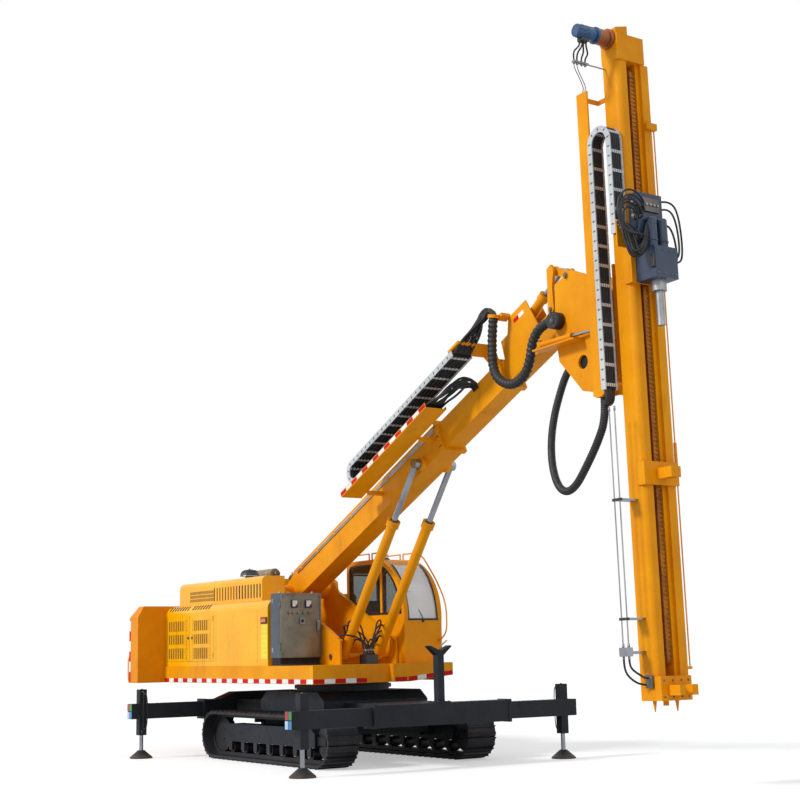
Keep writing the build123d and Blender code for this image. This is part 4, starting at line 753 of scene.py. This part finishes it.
def add_cabinet():
    """Meters, buttons, the handle and the hinges of the cabinet's door, and its dark plinth."""
    low, high = extent("cabinet_door")
    face = high.x
    door = Piece("cabinet_controls", "cabinet_door")

    def spot(across, down):
        return -1.480 + 0.840 * across, 2.990 - 1.150 * down

    def block(back, out, half, below, above, material, edge):
        door.box(face + back, face + out, y - half, y + half, z - below, z + above, material, edge)

    for across in (0.324, 0.667):
        y, z = spot(across, 0.169)
        block(-0.004, 0.012, 0.060, 0.070, 0.070, black_plastic, 0.004)
        block(0.010, 0.0145, 0.050, 0.046, 0.060, tape_white, 0.001)
        needle = face + 0.0155
        door.rod((needle, y + 0.038, z - 0.040), (needle, y - 0.018, z + 0.036), 0.0015, tape_red, 6)
        corner = [(y + 0.002, z - 0.046), (y + 0.050, z - 0.046), (y + 0.050, z + 0.008)]
        door.plate_x(corner, face + 0.0140, needle, black_plastic)
    for across, material in (
        (0.206, lamp_red), (0.298, lamp_red), (0.427, lamp_green), (0.565, lamp_green), (0.698, lamp_red),
    ):
        y, z = spot(across, 0.312)
        door.turned((0, y, z), 0, (
            (face - 0.004, face + 0.008, 0.026, zinc, 20), (face + 0.006, face + 0.024, 0.018, material, 16),
        ))
    y, z = spot(0.507, 0.432)
    block(-0.004, 0.006, 0.048, 0.052, 0.052, zinc, 0.003)
    door.rod((face + 0.004, y, z), (face + 0.022, y, z), 0.030, black_plastic, 20)
    block(0.020, 0.040, 0.008, 0.030, 0.030, black_plastic, 0.003)
    y, z = spot(0.908, 0.500)
    block(-0.004, 0.010, 0.024, 0.085, 0.085, zinc, 0.004)
    door.rod((face + 0.008, y, z - 0.055), (face + 0.028, y, z - 0.055), 0.013, chrome, 14)
    block(0.020, 0.034, 0.012, 0.062, 0.062, chrome, 0.004)
    back, out = face - 0.003, face + 0.004
    for z in (low.z + 0.018, high.z - 0.030):
        door.box(back, out, low.y + 0.02, high.y - 0.02, z, z + 0.012, stainless, 0.002)
    for y in (low.y + 0.018, high.y - 0.030):
        door.box(back, out, y, y + 0.012, low.z + 0.03, high.z - 0.03, stainless, 0.002)
    for down in (0.06, 0.94):
        for across in (0.05, 0.95):
            door.bolt((face, *spot(across, down)), (1, 0, 0), 0.012)
    door.done()
    case = Piece("cabinet_plinth", "upper")
    case.box(-0.042, 0.262, -1.4615, -0.6585, 1.703, 1.838, seam_dark_and_painted_shade, 0.004)
    case.box(0.262, 0.300, -1.46, -0.66, 1.703, 1.730, black_paint, 0.003)
    for z in (1.98, 2.86):
        case.box(-0.02, 0.03, -1.484, -1.478, z - 0.04, z + 0.04, zinc, 0.002)
    for y in (-1.40, -0.72):
        case.turned((0.13, y, 0), 2, ((2.989, 3.012, 0.03, zinc, 14), (3.010, 3.030, 0.014, zinc, 10)))
    case.done()


hood_side = 1.450
louvre_count = 7
louvre_groups = ((-4.46, -3.72), (-3.30, -2.64))
louvre_rows = ((2.40, 2.60), (2.14, 2.33), (1.85, 2.06))


def add_hood():
    """Louvre slots with painted shade in them, door seams, latches, the lime strip and the side lamp on the
    hoods.
    """
    hood = Piece("hood_details", "upper")
    for side in (-1.0, 1.0):
        def flat(x0, x1, z0, z1, deep, out, material, edge=0.0):
            y0, y1 = sorted((side * (hood_side - deep), side * (hood_side + out)))
            hood.box(x0, x1, y0, y1, z0, z1, material, edge)

        add_louvres(flat)
        flat(-2.3300, -2.3220, 1.77, 2.72, 0.0072, -0.0060, seam_dark_and_painted_shade)
        for x in (-4.56, -3.51, -2.42):
            flat(x - 0.003, x + 0.003, 1.80, 2.70, 0.001, 0.0015, seam_dark_and_painted_shade)
        flat(-4.55, -2.42, 1.797, 1.803, 0.001, 0.0015, seam_dark_and_painted_shade)
        for x in (-3.56, -3.38):
            flat(x - 0.03, x + 0.03, 2.235, 2.285, 0.002, 0.012, black_paint, 0.004)
        for z in (1.92, 2.62):
            flat(-2.49, -2.45, z - 0.05, z + 0.05, 0.002, 0.014, hood_paint, 0.005)
    hood.box(-0.640, -0.632, -1.4440, -1.4428, 1.77, 2.72, seam_dark_and_painted_shade)
    hood.box(-0.480, -0.250, -1.4530, -1.4490, 1.83, 2.45, lime_strip, 0.001)
    for number in range(6):
        z = 1.93 + number * 0.088
        hood.box(-0.478, -0.252, -1.4536, -1.4500, z, z + 0.004, yellow)
    hood.box(-0.490, -0.245, -1.4620, -1.4490, 2.46, 2.58, black_plastic, 0.004)
    hood.box(-0.455, -0.280, -1.4760, -1.4600, 2.485, 2.555, lamp_amber, 0.006)
    # Slots along the upper hood: their dark plates are painted shade.
    for number in range(26):
        x = -4.600 + 0.500 + number * 0.120
        if number < 9:
            hood.box(x - 0.001, x + 0.046, -1.1495, -1.1380, 2.968, 3.232, hood_paint)
            for z in (2.985, 3.060, 3.135):
                for part in range(4):
                    slit = x + part * 0.030
                    hood.box(slit, slit + 0.013, -1.1512, -1.1490, z, z + 0.058, seam_dark_and_painted_shade)
        elif number < 18:
            hood.box(x + 0.001, x + 0.044, -1.1385, -1.1375, 2.972, 3.228, seam_dark_and_painted_shade)
        else:
            hood.box(x, x + 0.045, -1.1515, -1.1490, 2.970, 3.230, seam_dark_and_painted_shade)
    hood.turned((-1.620, -0.900, 0), 2, (
        (2.898, 2.935, 0.130, hood_paint, 28, 0.105), (2.932, 2.985, 0.080, chrome, 28),
        (2.983, 3.015, 0.090, tape_red, 28, 0.070),
    ))
    duct = [(-1.95, -0.55, 3.02), (-1.78, -0.55, 3.06), (-1.50, -0.62, 3.05), (-1.28, -0.74, 2.98),
            (-1.16, -0.78, 2.88)]
    hood.tube(spline_line(duct, 8), 0.055, hood_paint, 16)
    for x in (-3.9, -2.2):
        hood.box(x - 0.03, x + 0.03, -0.70, -0.64, 3.378, 3.400, black_paint, 0.004)
        hood.rod((x, -0.67, 3.398), (x, -0.67, 3.430), 0.012, zinc, 10)
    hood.turned((0, -0.15, 3.4903), 0, (
        (-3.300, -3.360, 0.045, bolt_steel, 16), (-2.300, -2.180, 0.050, bolt_steel, 16),
        (-3.115, -3.085, 0.1125, zinc, 24), (-2.515, -2.485, 0.1125, zinc, 24),
    ))
    hood.rod((-2.500, -0.620, 3.372), (-2.500, -0.620, 3.392), 0.130, zinc, 24)
    # Slits on the hood's rounded shoulder: their dark plates are painted shade.
    slope, diagonal, bend = math.radians(45), 0.7071, 0.170
    for number in range(16):
        x = -4.46 + number * 0.118
        if abs(x + 3.51) < 0.07:
            continue
        middle = Vector((x, -hood_side + bend * (1 - math.cos(slope)), 2.730 + bend * math.sin(slope)))
        ring = []
        for across, reach in ((-0.018, -0.050), (0.018, -0.050), (0.018, 0.050), (-0.018, 0.050)):
            ring.append(middle + Vector((across, reach * diagonal, reach * diagonal)))
        out = Vector((0.0, -diagonal, diagonal))
        hood.prism([point - out * 0.006 for point in ring], [point + out * 0.0045 for point in ring], seam_dark_and_painted_shade)
    hood.turned((-2.500, -0.620, 0), 2, (
        (3.440, 3.456, 0.196, chrome, 32), (3.452, 3.530, 0.186, black_paint, 32, 0.170),
        (3.528, 3.570, 0.170, black_paint, 32, 0.120), (3.566, 3.584, 0.120, black_paint, 32, 0.030),
    ))
    hood.bolt((-2.500, -0.620, 3.582), (0, 0, 1), 0.020)
    hood.done()


def add_louvres(flat):
    """Upright pressed slots, in rows beside each other, their dark plates painted shade."""
    for x0, x1 in louvre_groups:
        flat(x0 - 0.05, x1 + 0.05, 1.80, 2.68, 0.001, 0.0028, hood_paint, 0.002)
        pitch = (x1 - x0) / louvre_count
        for z0, z1 in louvre_rows:
            for number in range(louvre_count):
                x = x0 + number * pitch
                # The dark plate in each slot is painted shade.
                flat(x, x + pitch * 0.48, z0, z1, 0.001, 0.0034, seam_dark_and_painted_shade)
                flat(x + pitch * 0.50, x + pitch * 0.80, z0 - 0.004, z1 + 0.004, 0.001, 0.011,
                     hood_paint, 0.003)


# Lamps and hoses on the outriggers


def add_outriggers():
    """Coloured lamps on the arm ends and thin hoses beside the jack tubes."""
    lenses = ((-1, 1, lamp_red), (-1, -1, lamp_white), (1, 1, lamp_green), (1, -1, lamp_blue))
    for end, place in ((1.0, "front"), (-1.0, "rear")):
        for side, name in ((-1.0, "right"), (1.0, "left")):
            x_mid = end * 3.090
            lamps = Piece(f"lamps_{place}_{name}", f"outrigger_arm_{place}_{name}")
            for column, row, material in lenses:
                x, z = x_mid + column * 0.055, 0.880 + row * 0.0715
                for wide, tall, back, out, look, edge in (
                    (0.0475, 0.0635, 2.896, 2.9025, material, 0.003),
                    (0.050, 0.066, 2.888, 2.893, black_plastic, 0.002),
                ):
                    y0, y1 = sorted((side * back, side * out))
                    lamps.box(x - wide, x + wide, y0, y1, z - tall, z + tall, look, edge)
            y = side * 2.650
            x0 = x_mid - end * 0.070
            for shift, top, bottom in ((-0.02, 1.245, 0.500), (0.03, 1.205, 0.545)):
                near = y + shift
                lamps.hose([
                    (x0, near, top), (x0 - end * 0.085, near, top + 0.018),
                    (x0 - end * 0.100, y + shift * 1.5, top - 0.16), (x0 - end * 0.085, y + shift * 2, 0.88),
                    (x0 - end * 0.090, y + shift * 1.5, bottom + 0.10),
                    (x0 - end * 0.065, near, bottom - 0.01), (x0, near, bottom),
                ], 0.0085, steps=6)
                for z in (top, bottom):
                    lamps.rod((x0 + end * 0.002, near, z), (x0 - end * 0.020, near, z), 0.014, zinc, 8)
            lamps.bolt((x_mid, y, 1.288), (0, 0, 1), 0.022)
            lamps.done()


# Drag chains


def band_point(radius, left, travel):
    """A place on a U's middle line, its outward way and its way along."""
    arc = math.pi * radius
    if travel < left:
        return Vector((-radius, 0, travel - left)), Vector((-1, 0, 0)), Vector((0, 0, 1))
    if travel < left + arc:
        turn = (travel - left) / radius
        out = Vector((-math.cos(turn), 0, math.sin(turn)))
        return out * radius, out, Vector((math.sin(turn), 0, math.cos(turn)))
    return Vector((radius, 0, left + arc - travel)), Vector((1, 0, 0)), Vector((0, 0, -1))


def drag_chain(name, body, place, radius, left, right, y0, y1):
    """A drag chain of silver link plates and crossbars, with the dark hoses packed between."""
    thick, rail, pitch = 0.095, 0.026, 0.290
    middle = radius - thick / 2
    total = left + math.pi * middle + right
    chain = Piece(name, body, place)

    def block(travel0, travel1, reach, side0, side1, material, segments):
        for step in range(segments):
            rings = []
            for end in (step, step + 1):
                travel = travel0 + (travel1 - travel0) * end / segments
                centre, out, _ = band_point(middle, left, travel)
                low, high = centre - out * reach, centre + out * reach
                rings.append([
                    (low.x, side0, low.z), (high.x, side0, high.z),
                    (high.x, side1, high.z), (low.x, side1, low.z),
                ])
            chain.prism(*rings, material)

    links = round(total / (pitch / 2))
    step = total / links
    half = thick / 2
    for number in range(links):
        a, b = number * step, (number + 1) * step
        parts = 2 if left - step < a < total - right else 1
        for side0, side1 in ((y0, y0 + rail * 0.55), (y1 - rail * 0.55, y1)):
            block(a + 0.004, b - 0.004, half, side0, side1, chain_silver, parts)
        for side0, side1 in ((y0 + rail * 0.5, y0 + rail), (y1 - rail, y1 - rail * 0.5)):
            start = a - step * 0.2 if number else a
            block(start, b - step * 0.2, half * 0.8, side0, side1, chain_silver, parts)
        block(a, b, half * 0.62, y0 + rail, y1 - rail, hose_black, parts)
        if number % 2 == 0:
            centre, out, way = band_point(middle, left, a + step / 2)
            for reach in (-half * 0.86, half * 0.86):
                spot = centre + out * reach
                corners = []
                for along, deep in ((-0.024, -0.006), (0.024, -0.006), (0.024, 0.006), (-0.024, 0.006)):
                    corner = spot + way * along + out * deep
                    corners.append((corner.x, corner.z))
                chain.plate_y(corners, y0 + 0.004, y1 - 0.004, chain_silver)
        if number:
            centre, _, _ = band_point(middle, left, a)
            for side, out_way in ((y0, -1.0), (y1, 1.0)):
                span = (side - out_way * 0.004, side + out_way * 0.003)
                chain.turned((centre.x, 0, centre.z), 1, ((*span, 0.016, bolt_steel, 8),))
    count = 5
    width = (y1 - y0 - 2 * rail) / count
    for number in range(count):
        y = y0 + rail + width * (number + 0.5)
        for reach in (-0.034, 0.034):
            line = []
            for mark in range(61):
                centre, out, _ = band_point(middle, left, 0.01 + (total - 0.02) * mark / 60)
                point = centre + out * reach
                line.append(Vector((point.x, y, point.z)))
            chain.tube(line, min(width * 0.42, 0.016), hose_black, 6)
    return chain.done()


def add_chains():
    """The drag chains of the boom and the mast."""
    radius = 0.215
    bend = 3.750 + radius
    turn = Matrix.Translation((bend, 0.0, 0.1084 + radius)) @ Matrix.Rotation(math.radians(-90.0), 4, "Y")
    made = drag_chain("boom_drag_chain", "boom_chain", boom_frame @ turn, radius, 5.900 - bend, 7.380 - bend,
                      -0.918, -0.522)
    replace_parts(made, "boom_chain")
    radius = (8.530 - 8.035) / 2
    bend = 9.390 - radius
    place = mast_frame @ Matrix.Translation((8.035 + radius, 0.0, bend))
    made = drag_chain("mast_drag_chain", "mast_chain", place, radius, bend - 5.500, bend - 7.700,
                      -0.556, -0.326)
    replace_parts(made, "mast_chain")


# Boom and mast


def pin_cap(piece, x, z, y, side, radius):
    """A round pin end with its keeper plate and bolts."""
    piece.turned((x, 0, z), 1, (
        (y - side * 0.003, y + side * 0.012, radius, bolt_steel, 24),
        (y + side * 0.010, y + side * 0.018, radius * 0.72, bolt_steel, 20),
    ))
    piece.box(x - radius * 0.25, x + radius * 0.25, *sorted((y - side * 0.002, y + side * 0.022)),
              z - radius * 1.5, z - radius * 0.2, bolt_steel, 0.003)
    piece.bolt((x, y + side * 0.020, z - radius * 1.2), (0, side, 0), radius * 0.18)


def add_boom():
    """Pipes along the boom, pin ends, hose bundles and bolts."""
    base = Piece("boom_base_details", "boom_base", boom_frame)
    for up in (0.238, 0.204):
        base.rod((0.42, -0.2285, up), (5.55, -0.2285, up), 0.012, chain_silver, 10)
    for number in range(8):
        along = 0.6 + number * 0.68
        base.box(along - 0.02, along + 0.02, -0.2425, -0.214, 0.184, 0.256, yellow, 0.003)
    for along in (5.625, 5.665):
        for up in (-0.14, 0.05, 0.24):
            for side in (-1.0, 1.0):
                base.bolt((along, side * 0.2555, up), (0, side, 0), 0.012)
    for side in (-1.0, 1.0):
        base.bolt((5.030, side * 0.230, -0.120), (0, side, 0), 0.02)
    for number in range(9):
        y = -0.88 + number * 0.04
        rise = 0.24 + 0.045 * (number % 4)
        spread = 0.10 * (number % 3)
        base.hose([
            (5.885, y, 0.155), (6.10, y + 0.01, 0.170), (6.42, y + 0.03, 0.200),
            (6.56 + spread * 0.5, y * 0.8, rise - 0.04), (6.72 + spread, y * 0.62, rise + 0.05),
            (6.84 + spread * 0.7, y * 0.45, rise), (6.86 + spread * 0.5, -0.235, 0.262),
            (6.82 + spread * 0.5, -0.206, 0.190),
        ], 0.019)
    base.done()

    middle = Piece("boom_mid_details", "boom_mid", boom_frame)
    for number in range(4):
        middle.bolt((7.32 + number * 0.065, -0.30, 0.5885), (0, 0, 1), 0.014)
    for along in (7.53, 7.57):
        for up in (-0.12, 0.05, 0.22):
            middle.bolt((along, 0.212, up), (0, 1, 0), 0.012)
    middle.done()

    tip = Piece("boom_tip_details", "boom_tip")
    x, z = 6.945, 6.780
    outer = -0.483
    tip.turned((x, 0, z), 1, (
        (-0.3325, outer - 0.004, 0.1312, black_plastic, 36),
        (outer - 0.002, outer - 0.012, 0.062, black_paint, 28),
        (outer - 0.010, outer - 0.017, 0.026, bolt_steel, 20),
    ))
    tip.bolt_ring((x, outer - 0.004, z), (0, -1, 0), 0.100, 8, 0.010, 0.5)
    tip.rod((6.780, boom_hose_y, 6.788), (6.825, boom_hose_y, 6.793), 0.084, black_plastic, 24)
    pin_cap(tip, x, z, 0.345, 1.0, 0.055)
    for side in (-1.0, 1.0):
        pin_cap(tip, 6.640, 7.040, side * 0.240, side, 0.036)
    tip.done()

    bundle = Piece("hose_bundle", None, boom_frame)
    for number in range(10):
        y0 = -0.87 + 0.033 * number
        y1 = -0.445 + 0.011 * (number * 3 % 10)
        lift = 0.018 * (number * 7 % 5)
        wave = 0.03 * (number % 3 - 1)
        bundle.hose([
            (7.372, y0, 0.492), (7.47, y0, 0.50), (7.60, y0 + 0.04 + wave, 0.57 + lift),
            (7.74, (y0 + y1) / 2 + wave, 0.72 + lift * 2), (7.85, y1 - 0.06 - wave, 0.88 + lift * 1.6),
            (7.98, y1 - 0.01, 0.95 + lift), (8.035, y1, 0.90), (8.040, y1 * 0.5 - 0.2025, 0.80),
        ], 0.020)
    made = bundle.done()
    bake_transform(made)


def add_head():
    """Pin ends and bolts on the mast's head and its links."""
    head = Piece("mast_head_details", "mast_head")
    for side in (-1.0, 1.0):
        pin_cap(head, 7.130, 7.460, side * 0.340, side, 0.040)
    head.done()
    plates = Piece("mast_head_bolts", "mast_head", mast_frame)
    for side in (-1.0, 1.0):
        for z in (5.80, 5.95, 7.00, 7.12):
            plates.bolt((7.72, side * 0.3195, z), (0, side, 0), 0.016)
    plates.rod((7.415, -0.272, 6.060), (7.415, -0.262, 6.060), 0.118, seam_dark_and_painted_shade, 36)
    plates.rod((6.620, -0.465, 6.523), (6.620, -0.465, 6.532), 0.032, bolt_steel, 16)
    plates.bolt((6.620, -0.465, 6.530), (0, 0, 1), 0.014)
    plates.done()


def add_mast():
    """The feed chain's rollers, pipes, fittings, bolts and the motor's hoses."""
    chain = Piece("feed_chain_links", "mast", mast_frame)
    pitch, low, high = 0.0635, 1.70, 10.28
    for number in range(int((high - low) / pitch)):
        z = low + number * pitch
        for x0, x1 in ((8.4385, 8.4530), (8.2770, 8.2915)):
            chain.box(x0, x1, -0.014, 0.064, z, z + pitch * 0.42, chain_brown)
        for y in (-0.0165, 0.0605):
            chain.box(8.418, 8.4495, y, y + 0.006, z - pitch * 0.15, z + pitch * 0.62, chain_brown)
    chain.done()

    mast = Piece("mast_details", "mast", mast_frame)
    for z in (2.260, 3.900):
        mast.box(8.205, 8.375, -0.634, -0.590, z - 0.019, z + 0.019, black_paint, 0.003)
    for x in (8.235, 8.345):
        mast.rod((x, -0.612, 1.874), (x, -0.612, 1.925), 0.018, zinc, 6)
        mast.rod((x, -0.612, 5.150), (x, -0.612, 5.215), 0.016, zinc, 6)
        mast.rod((x, -0.615, 1.756), (x, -0.615, 1.715), 0.017, zinc, 6)
    for route in (
        [(8.235, -0.615, 1.72), (8.235, -0.617, 1.62), (8.27, -0.60, 1.50), (8.33, -0.50, 1.40),
         (8.37, -0.40, 1.37), (8.372, -0.345, 1.37)],
        [(8.345, -0.615, 1.72), (8.350, -0.620, 1.64), (8.385, -0.60, 1.57), (8.42, -0.50, 1.50),
         (8.43, -0.42, 1.455), (8.432, -0.345, 1.455)],
    ):
        mast.hose(route, 0.015, 10)
    mast.box(8.345, 8.470, -0.345, -0.298, 1.320, 1.500, bolt_steel, 0.006)
    for x, z in ((8.372, 1.37), (8.432, 1.455)):
        mast.rod((x, -0.352, z), (x, -0.335, z), 0.022, zinc, 6)
    for z in (1.20, 1.42):
        for y in (-0.24, -0.08, 0.08, 0.21):
            mast.bolt((8.5995, y, z), (1, 0, 0), 0.014)
    for shift, wide in ((-0.055, 0.034), (-0.02, 0.036), (0.02, 0.036), (0.055, 0.034), (0.0, 0.04)):
        mast.hose([
            (8.085, -0.44 + shift, 5.560), (8.083, -0.44 + shift, 5.440), (8.075, -0.435 + shift * 0.8, 5.36),
            (8.03, -0.42 + shift * 0.5, 5.315), (7.955, -0.405 + shift * 0.3, 5.325),
            (7.925, -0.400 + shift * 0.2, 5.400),
        ], wide, 12)
    mast.done()

    top = Piece("feed_motor_details", "mast", mast_frame)
    x, z = 8.350, 10.780
    centre, across, up = Vector((x, 0, z)), Vector((1, 0, 0)), Vector((0, 0, 1))
    top.rod((x, -0.930, z), (x, -0.936, z), 0.080, blue_paint, 28)
    for spot in circle(centre, across, up, 0.084, 10):
        top.turned(spot, 1, ((-0.915, -0.790, 0.019, blue_paint, 12),))
    top.bolt_ring((x, -0.932, z), (0, -1, 0), 0.066, 6, 0.012)
    top.turned(centre, 1, ((-0.550, -0.578, 0.128, blue_paint, 32), (-0.720, -0.750, 0.101, blue_paint, 32)))
    top.bolt_ring((x, -0.577, z), (0, -1, 0), 0.112, 8, 0.009, 0.5)
    top.box(x - 0.060, x + 0.050, -0.860, -0.720, z - 0.150, z - 0.085, black_paint, 0.006)
    top.rod((x + 0.04, -0.86, z + 0.094), (x + 0.04, -0.60, z + 0.094), 0.008, zinc, 8)
    top.box(x - 0.135, x - 0.075, -0.925, -0.640, 10.330, 10.355, zinc, 0.003)
    top.box(x - 0.115, x - 0.095, -0.650, -0.285, 10.335, 10.350, zinc, 0.002)
    rack = x - 0.105
    for number, y in enumerate((-0.905, -0.845, -0.760, -0.690)):
        port, depth = x - 0.03 + 0.02 * (number % 2), -0.84 + 0.035 * number
        top.hose([
            (port, depth, z - 0.145), (port, depth, z - 0.21), (x - 0.07, y - 0.02 + 0.02 * number, z - 0.29),
            (rack, y, z - 0.36), (rack, y, 10.350),
        ], 0.013)
        top.rod((rack, y, 10.375), (rack, y, 10.300), 0.017, zinc, 6)
    for y, x_end in ((-0.905, 7.93), (-0.845, 7.98)):
        route = [
            (rack, y, 10.305), (rack, y, 10.24), (x - 0.17, y * 0.8 - 0.05, 10.17),
            (x_end + 0.05, -0.50, 10.10), (x_end, -0.488, 10.06), (x_end, -0.488, 10.0),
        ]
        top.tube(spline_line(route, 8), 0.007, zinc, 8)
    top.done()


def add_power_head():
    """Hoses, fittings and bolts on the power head."""
    head = Piece("power_head_details", "power_head", mast_frame)
    for number in range(8):
        y = -0.54 + 0.030 * number
        drop = 0.04 * (number % 4)
        reach = 0.03 * (number % 3)
        top = 7.86 - 0.04 * (number % 3)
        head.hose([
            (8.552, y, top), (8.63, y - 0.02, 7.85), (8.72 + reach, y - 0.06, 7.70 - drop),
            (8.76 + reach, y - 0.05, 7.46 - drop), (8.80 + reach, y * 0.5 - 0.26, 7.26 + drop),
            (8.83, -0.36 + 0.012 * number, 7.36 + drop), (8.82, -0.28 + 0.010 * number, 7.52 + drop * 1.5),
            (8.80, -0.215 + 0.006 * number, 7.58 + drop * 2),
        ], 0.017)
        head.rod((8.550, y, top), (8.578, y, top), 0.022, zinc, 6)
    for number in range(6):
        size = 0.20 + 0.035 * number
        y_mid, z_mid = -0.48 - 0.02 * (number % 2), 7.83 + 0.03 * (number % 3)
        route = [(8.70, -0.300, 7.76 + 0.05 * number)]
        for step in range(1, 10):
            turn = math.radians(-15.0 + 26.0 * step + 9.0 * (number % 3))
            x = 8.74 + 0.016 * number + 0.008 * step
            route.append((x, y_mid + size * 0.85 * math.cos(turn), z_mid + size * math.sin(turn)))
        route.append((8.80, -0.225, 7.55 + 0.02 * number))
        head.hose(route, 0.015, steps=6)
    for z in (8.14, 8.04, 7.94):
        head.box(8.66, 8.735, -0.335, -0.298, z - 0.04, z + 0.04, bolt_steel, 0.006)
        head.rod((8.70, -0.333, z), (8.70, -0.372, z), 0.022, zinc, 6)
    for z0, z1, reach in ((8.22, 7.30, 0.27), (8.10, 7.36, 0.21), (7.86, 7.26, 0.15)):
        head.hose([
            (8.70, 0.178, z0), (8.74, 0.178 + reach * 0.6, z0 + 0.04), (8.80, 0.18 + reach, z0 - 0.15),
            (8.83, 0.19 + reach, z1 + 0.08), (8.83, 0.20 + reach * 0.4, z1 - 0.03), (8.83, 0.198, z1),
        ], 0.015)
        head.rod((8.83, 0.190, z1), (8.83, 0.214, z1), 0.022, zinc, 6)
    for y in (-0.110, 0.090):
        head.turned((8.800, y, 0), 2, (
            (7.895, 7.915, 0.066, bolt_steel, 24), (7.56, 7.585, 0.086, head_paint, 28),
            (7.462, 7.482, 0.090, head_paint, 28),
        ))
        head.bolt((8.800, y, 7.913), (0, 0, 1), 0.018)
        head.bolt_ring((8.800, y, 7.481), (0, 0, 1), 0.074, 6, 0.008)
    for z in (7.06, 7.40):
        for y in (-0.19, -0.06, 0.07, 0.16):
            head.bolt((8.9595, y, z), (1, 0, 0), 0.013)
    for z in (7.60, 7.80, 8.00, 8.20):
        head.bolt((8.64, -0.2995, z), (0, -1, 0), 0.013)
    head.box(8.60, 8.72, -0.345, -0.298, 7.52, 7.70, bolt_steel, 0.006)
    head.box(8.880, 8.955, -0.262, -0.228, 7.14, 7.34, black_paint, 0.006)
    head.box(8.738, 8.770, -0.20, 0.10, 8.02, 8.22, bolt_steel, 0.006)
    for y in (-0.15, -0.08, -0.01, 0.06):
        head.rod((8.768, y, 8.12), (8.792, y, 8.12), 0.017, zinc, 6)
    head.done()


def add_ram_hoses():
    """Thin hoses from the valve block to the luffing rams, pin ends and the rams' glands."""
    rams = Piece("ram_hoses", "upper")
    for number in range(10):
        y = -0.160 + number * 0.021
        x = 0.955 if number % 2 else 1.055
        side = -1.0 if number < 5 else 1.0
        reach = 0.16 + 0.11 * (number * 2 % 5)
        top = 2.10 + 0.085 * (number * 3 % 5)
        rams.hose([
            (x, y, 1.925), (x, y, 2.04), (x - 0.02, y + side * reach * 0.3, top),
            (x - 0.12, y + side * reach * 0.9, top + 0.06), (x - 0.24, side * (0.20 + reach * 0.5), top - 0.06),
            (0.68, side * 0.262, 2.10 + 0.03 * (number % 3)), (0.62, side * 0.285, 1.98),
        ], 0.015)
        rams.rod((x, y, 1.922), (x, y, 1.965), 0.017, zinc, 6)
    rams.box(0.93, 1.09, -0.150, 0.020, 1.872, 1.895, seam_dark_and_painted_shade, 0.003)
    for side in (-1.0, 1.0):
        pin_cap(rams, -1.550, 3.100, side * 0.650, side, 0.060)
        pin_cap(rams, 0.620, 1.850, side * 0.628, side, 0.045)
    rams.rod((-1.62, -0.20, 3.36), (-1.50, -0.20, 3.46), 0.030, zinc, 12)
    rams.done()
    ends = Piece("ram_glands", "luff_barrels")
    base = Vector((0.620, 0.0, 1.850))
    eye = boom_frame @ Vector((5.030, 0.0, -0.120)) - Vector((shift_x, 0, 0))
    way = (eye - base).normalized()
    side_way = Vector((0, 1, 0))
    across = way.cross(side_way).normalized()
    for side in (-1.0, 1.0):
        start = base + side_way * (side * 0.370)
        for mark in (2.780, 2.845, 2.885):
            ends.rod(start + way * mark, start + way * (mark + 0.014), 0.1165, yellow, 28)
        spot = start + way * 2.898
        ends.rod(spot, spot + way * 0.010, 0.074, black_plastic, 24)
        for place in circle(spot, across, side_way, 0.093, 8):
            ends.bolt(place, way, 0.010)
        for mark in (0.30, 2.60):
            spot = start + way * mark
            ends.rod(spot + across * 0.086, spot + across * 0.112, 0.018, zinc, 8)
    ends.done()


def add_rest():
    """The flag plate and the bolts of the boom rest, and the slewing ring's bolts."""
    rest = Piece("rest_details", "carrier")
    front = [(3.070, 0.05, 1.985), (3.110, 0.05, 1.985), (3.110, 0.18, 2.075), (3.070, 0.18, 2.075)]
    rest.prism(front, [(x, y - 0.004, z + 0.012) for x, y, z in front], zinc)
    for x in (-0.11, 0.11):
        for y in (-0.11, 0.11):
            rest.bolt((3.090 + x, y, 1.0800), (0, 0, 1), 0.014)
    rest.bolt_ring((0, 0, 1.2550), (0, 0, 1), 0.800, 28, 0.014)
    rest.done()


add_camera()
add_hoses()
add_world()
add_floor()
add_sun("key", (0.15, 0.85, -0.55), 2.1, 12.0)
add_sun("side", (-0.85, 0.1, -0.5), 0.35, 40.0)

add_tapes()
add_cab()
add_cabinet()
add_hood()
add_outriggers()
add_chains()
add_boom()
add_head()
add_mast()
add_power_head()
add_ram_hoses()
add_rest()

scene.view_settings.view_transform = "Standard"
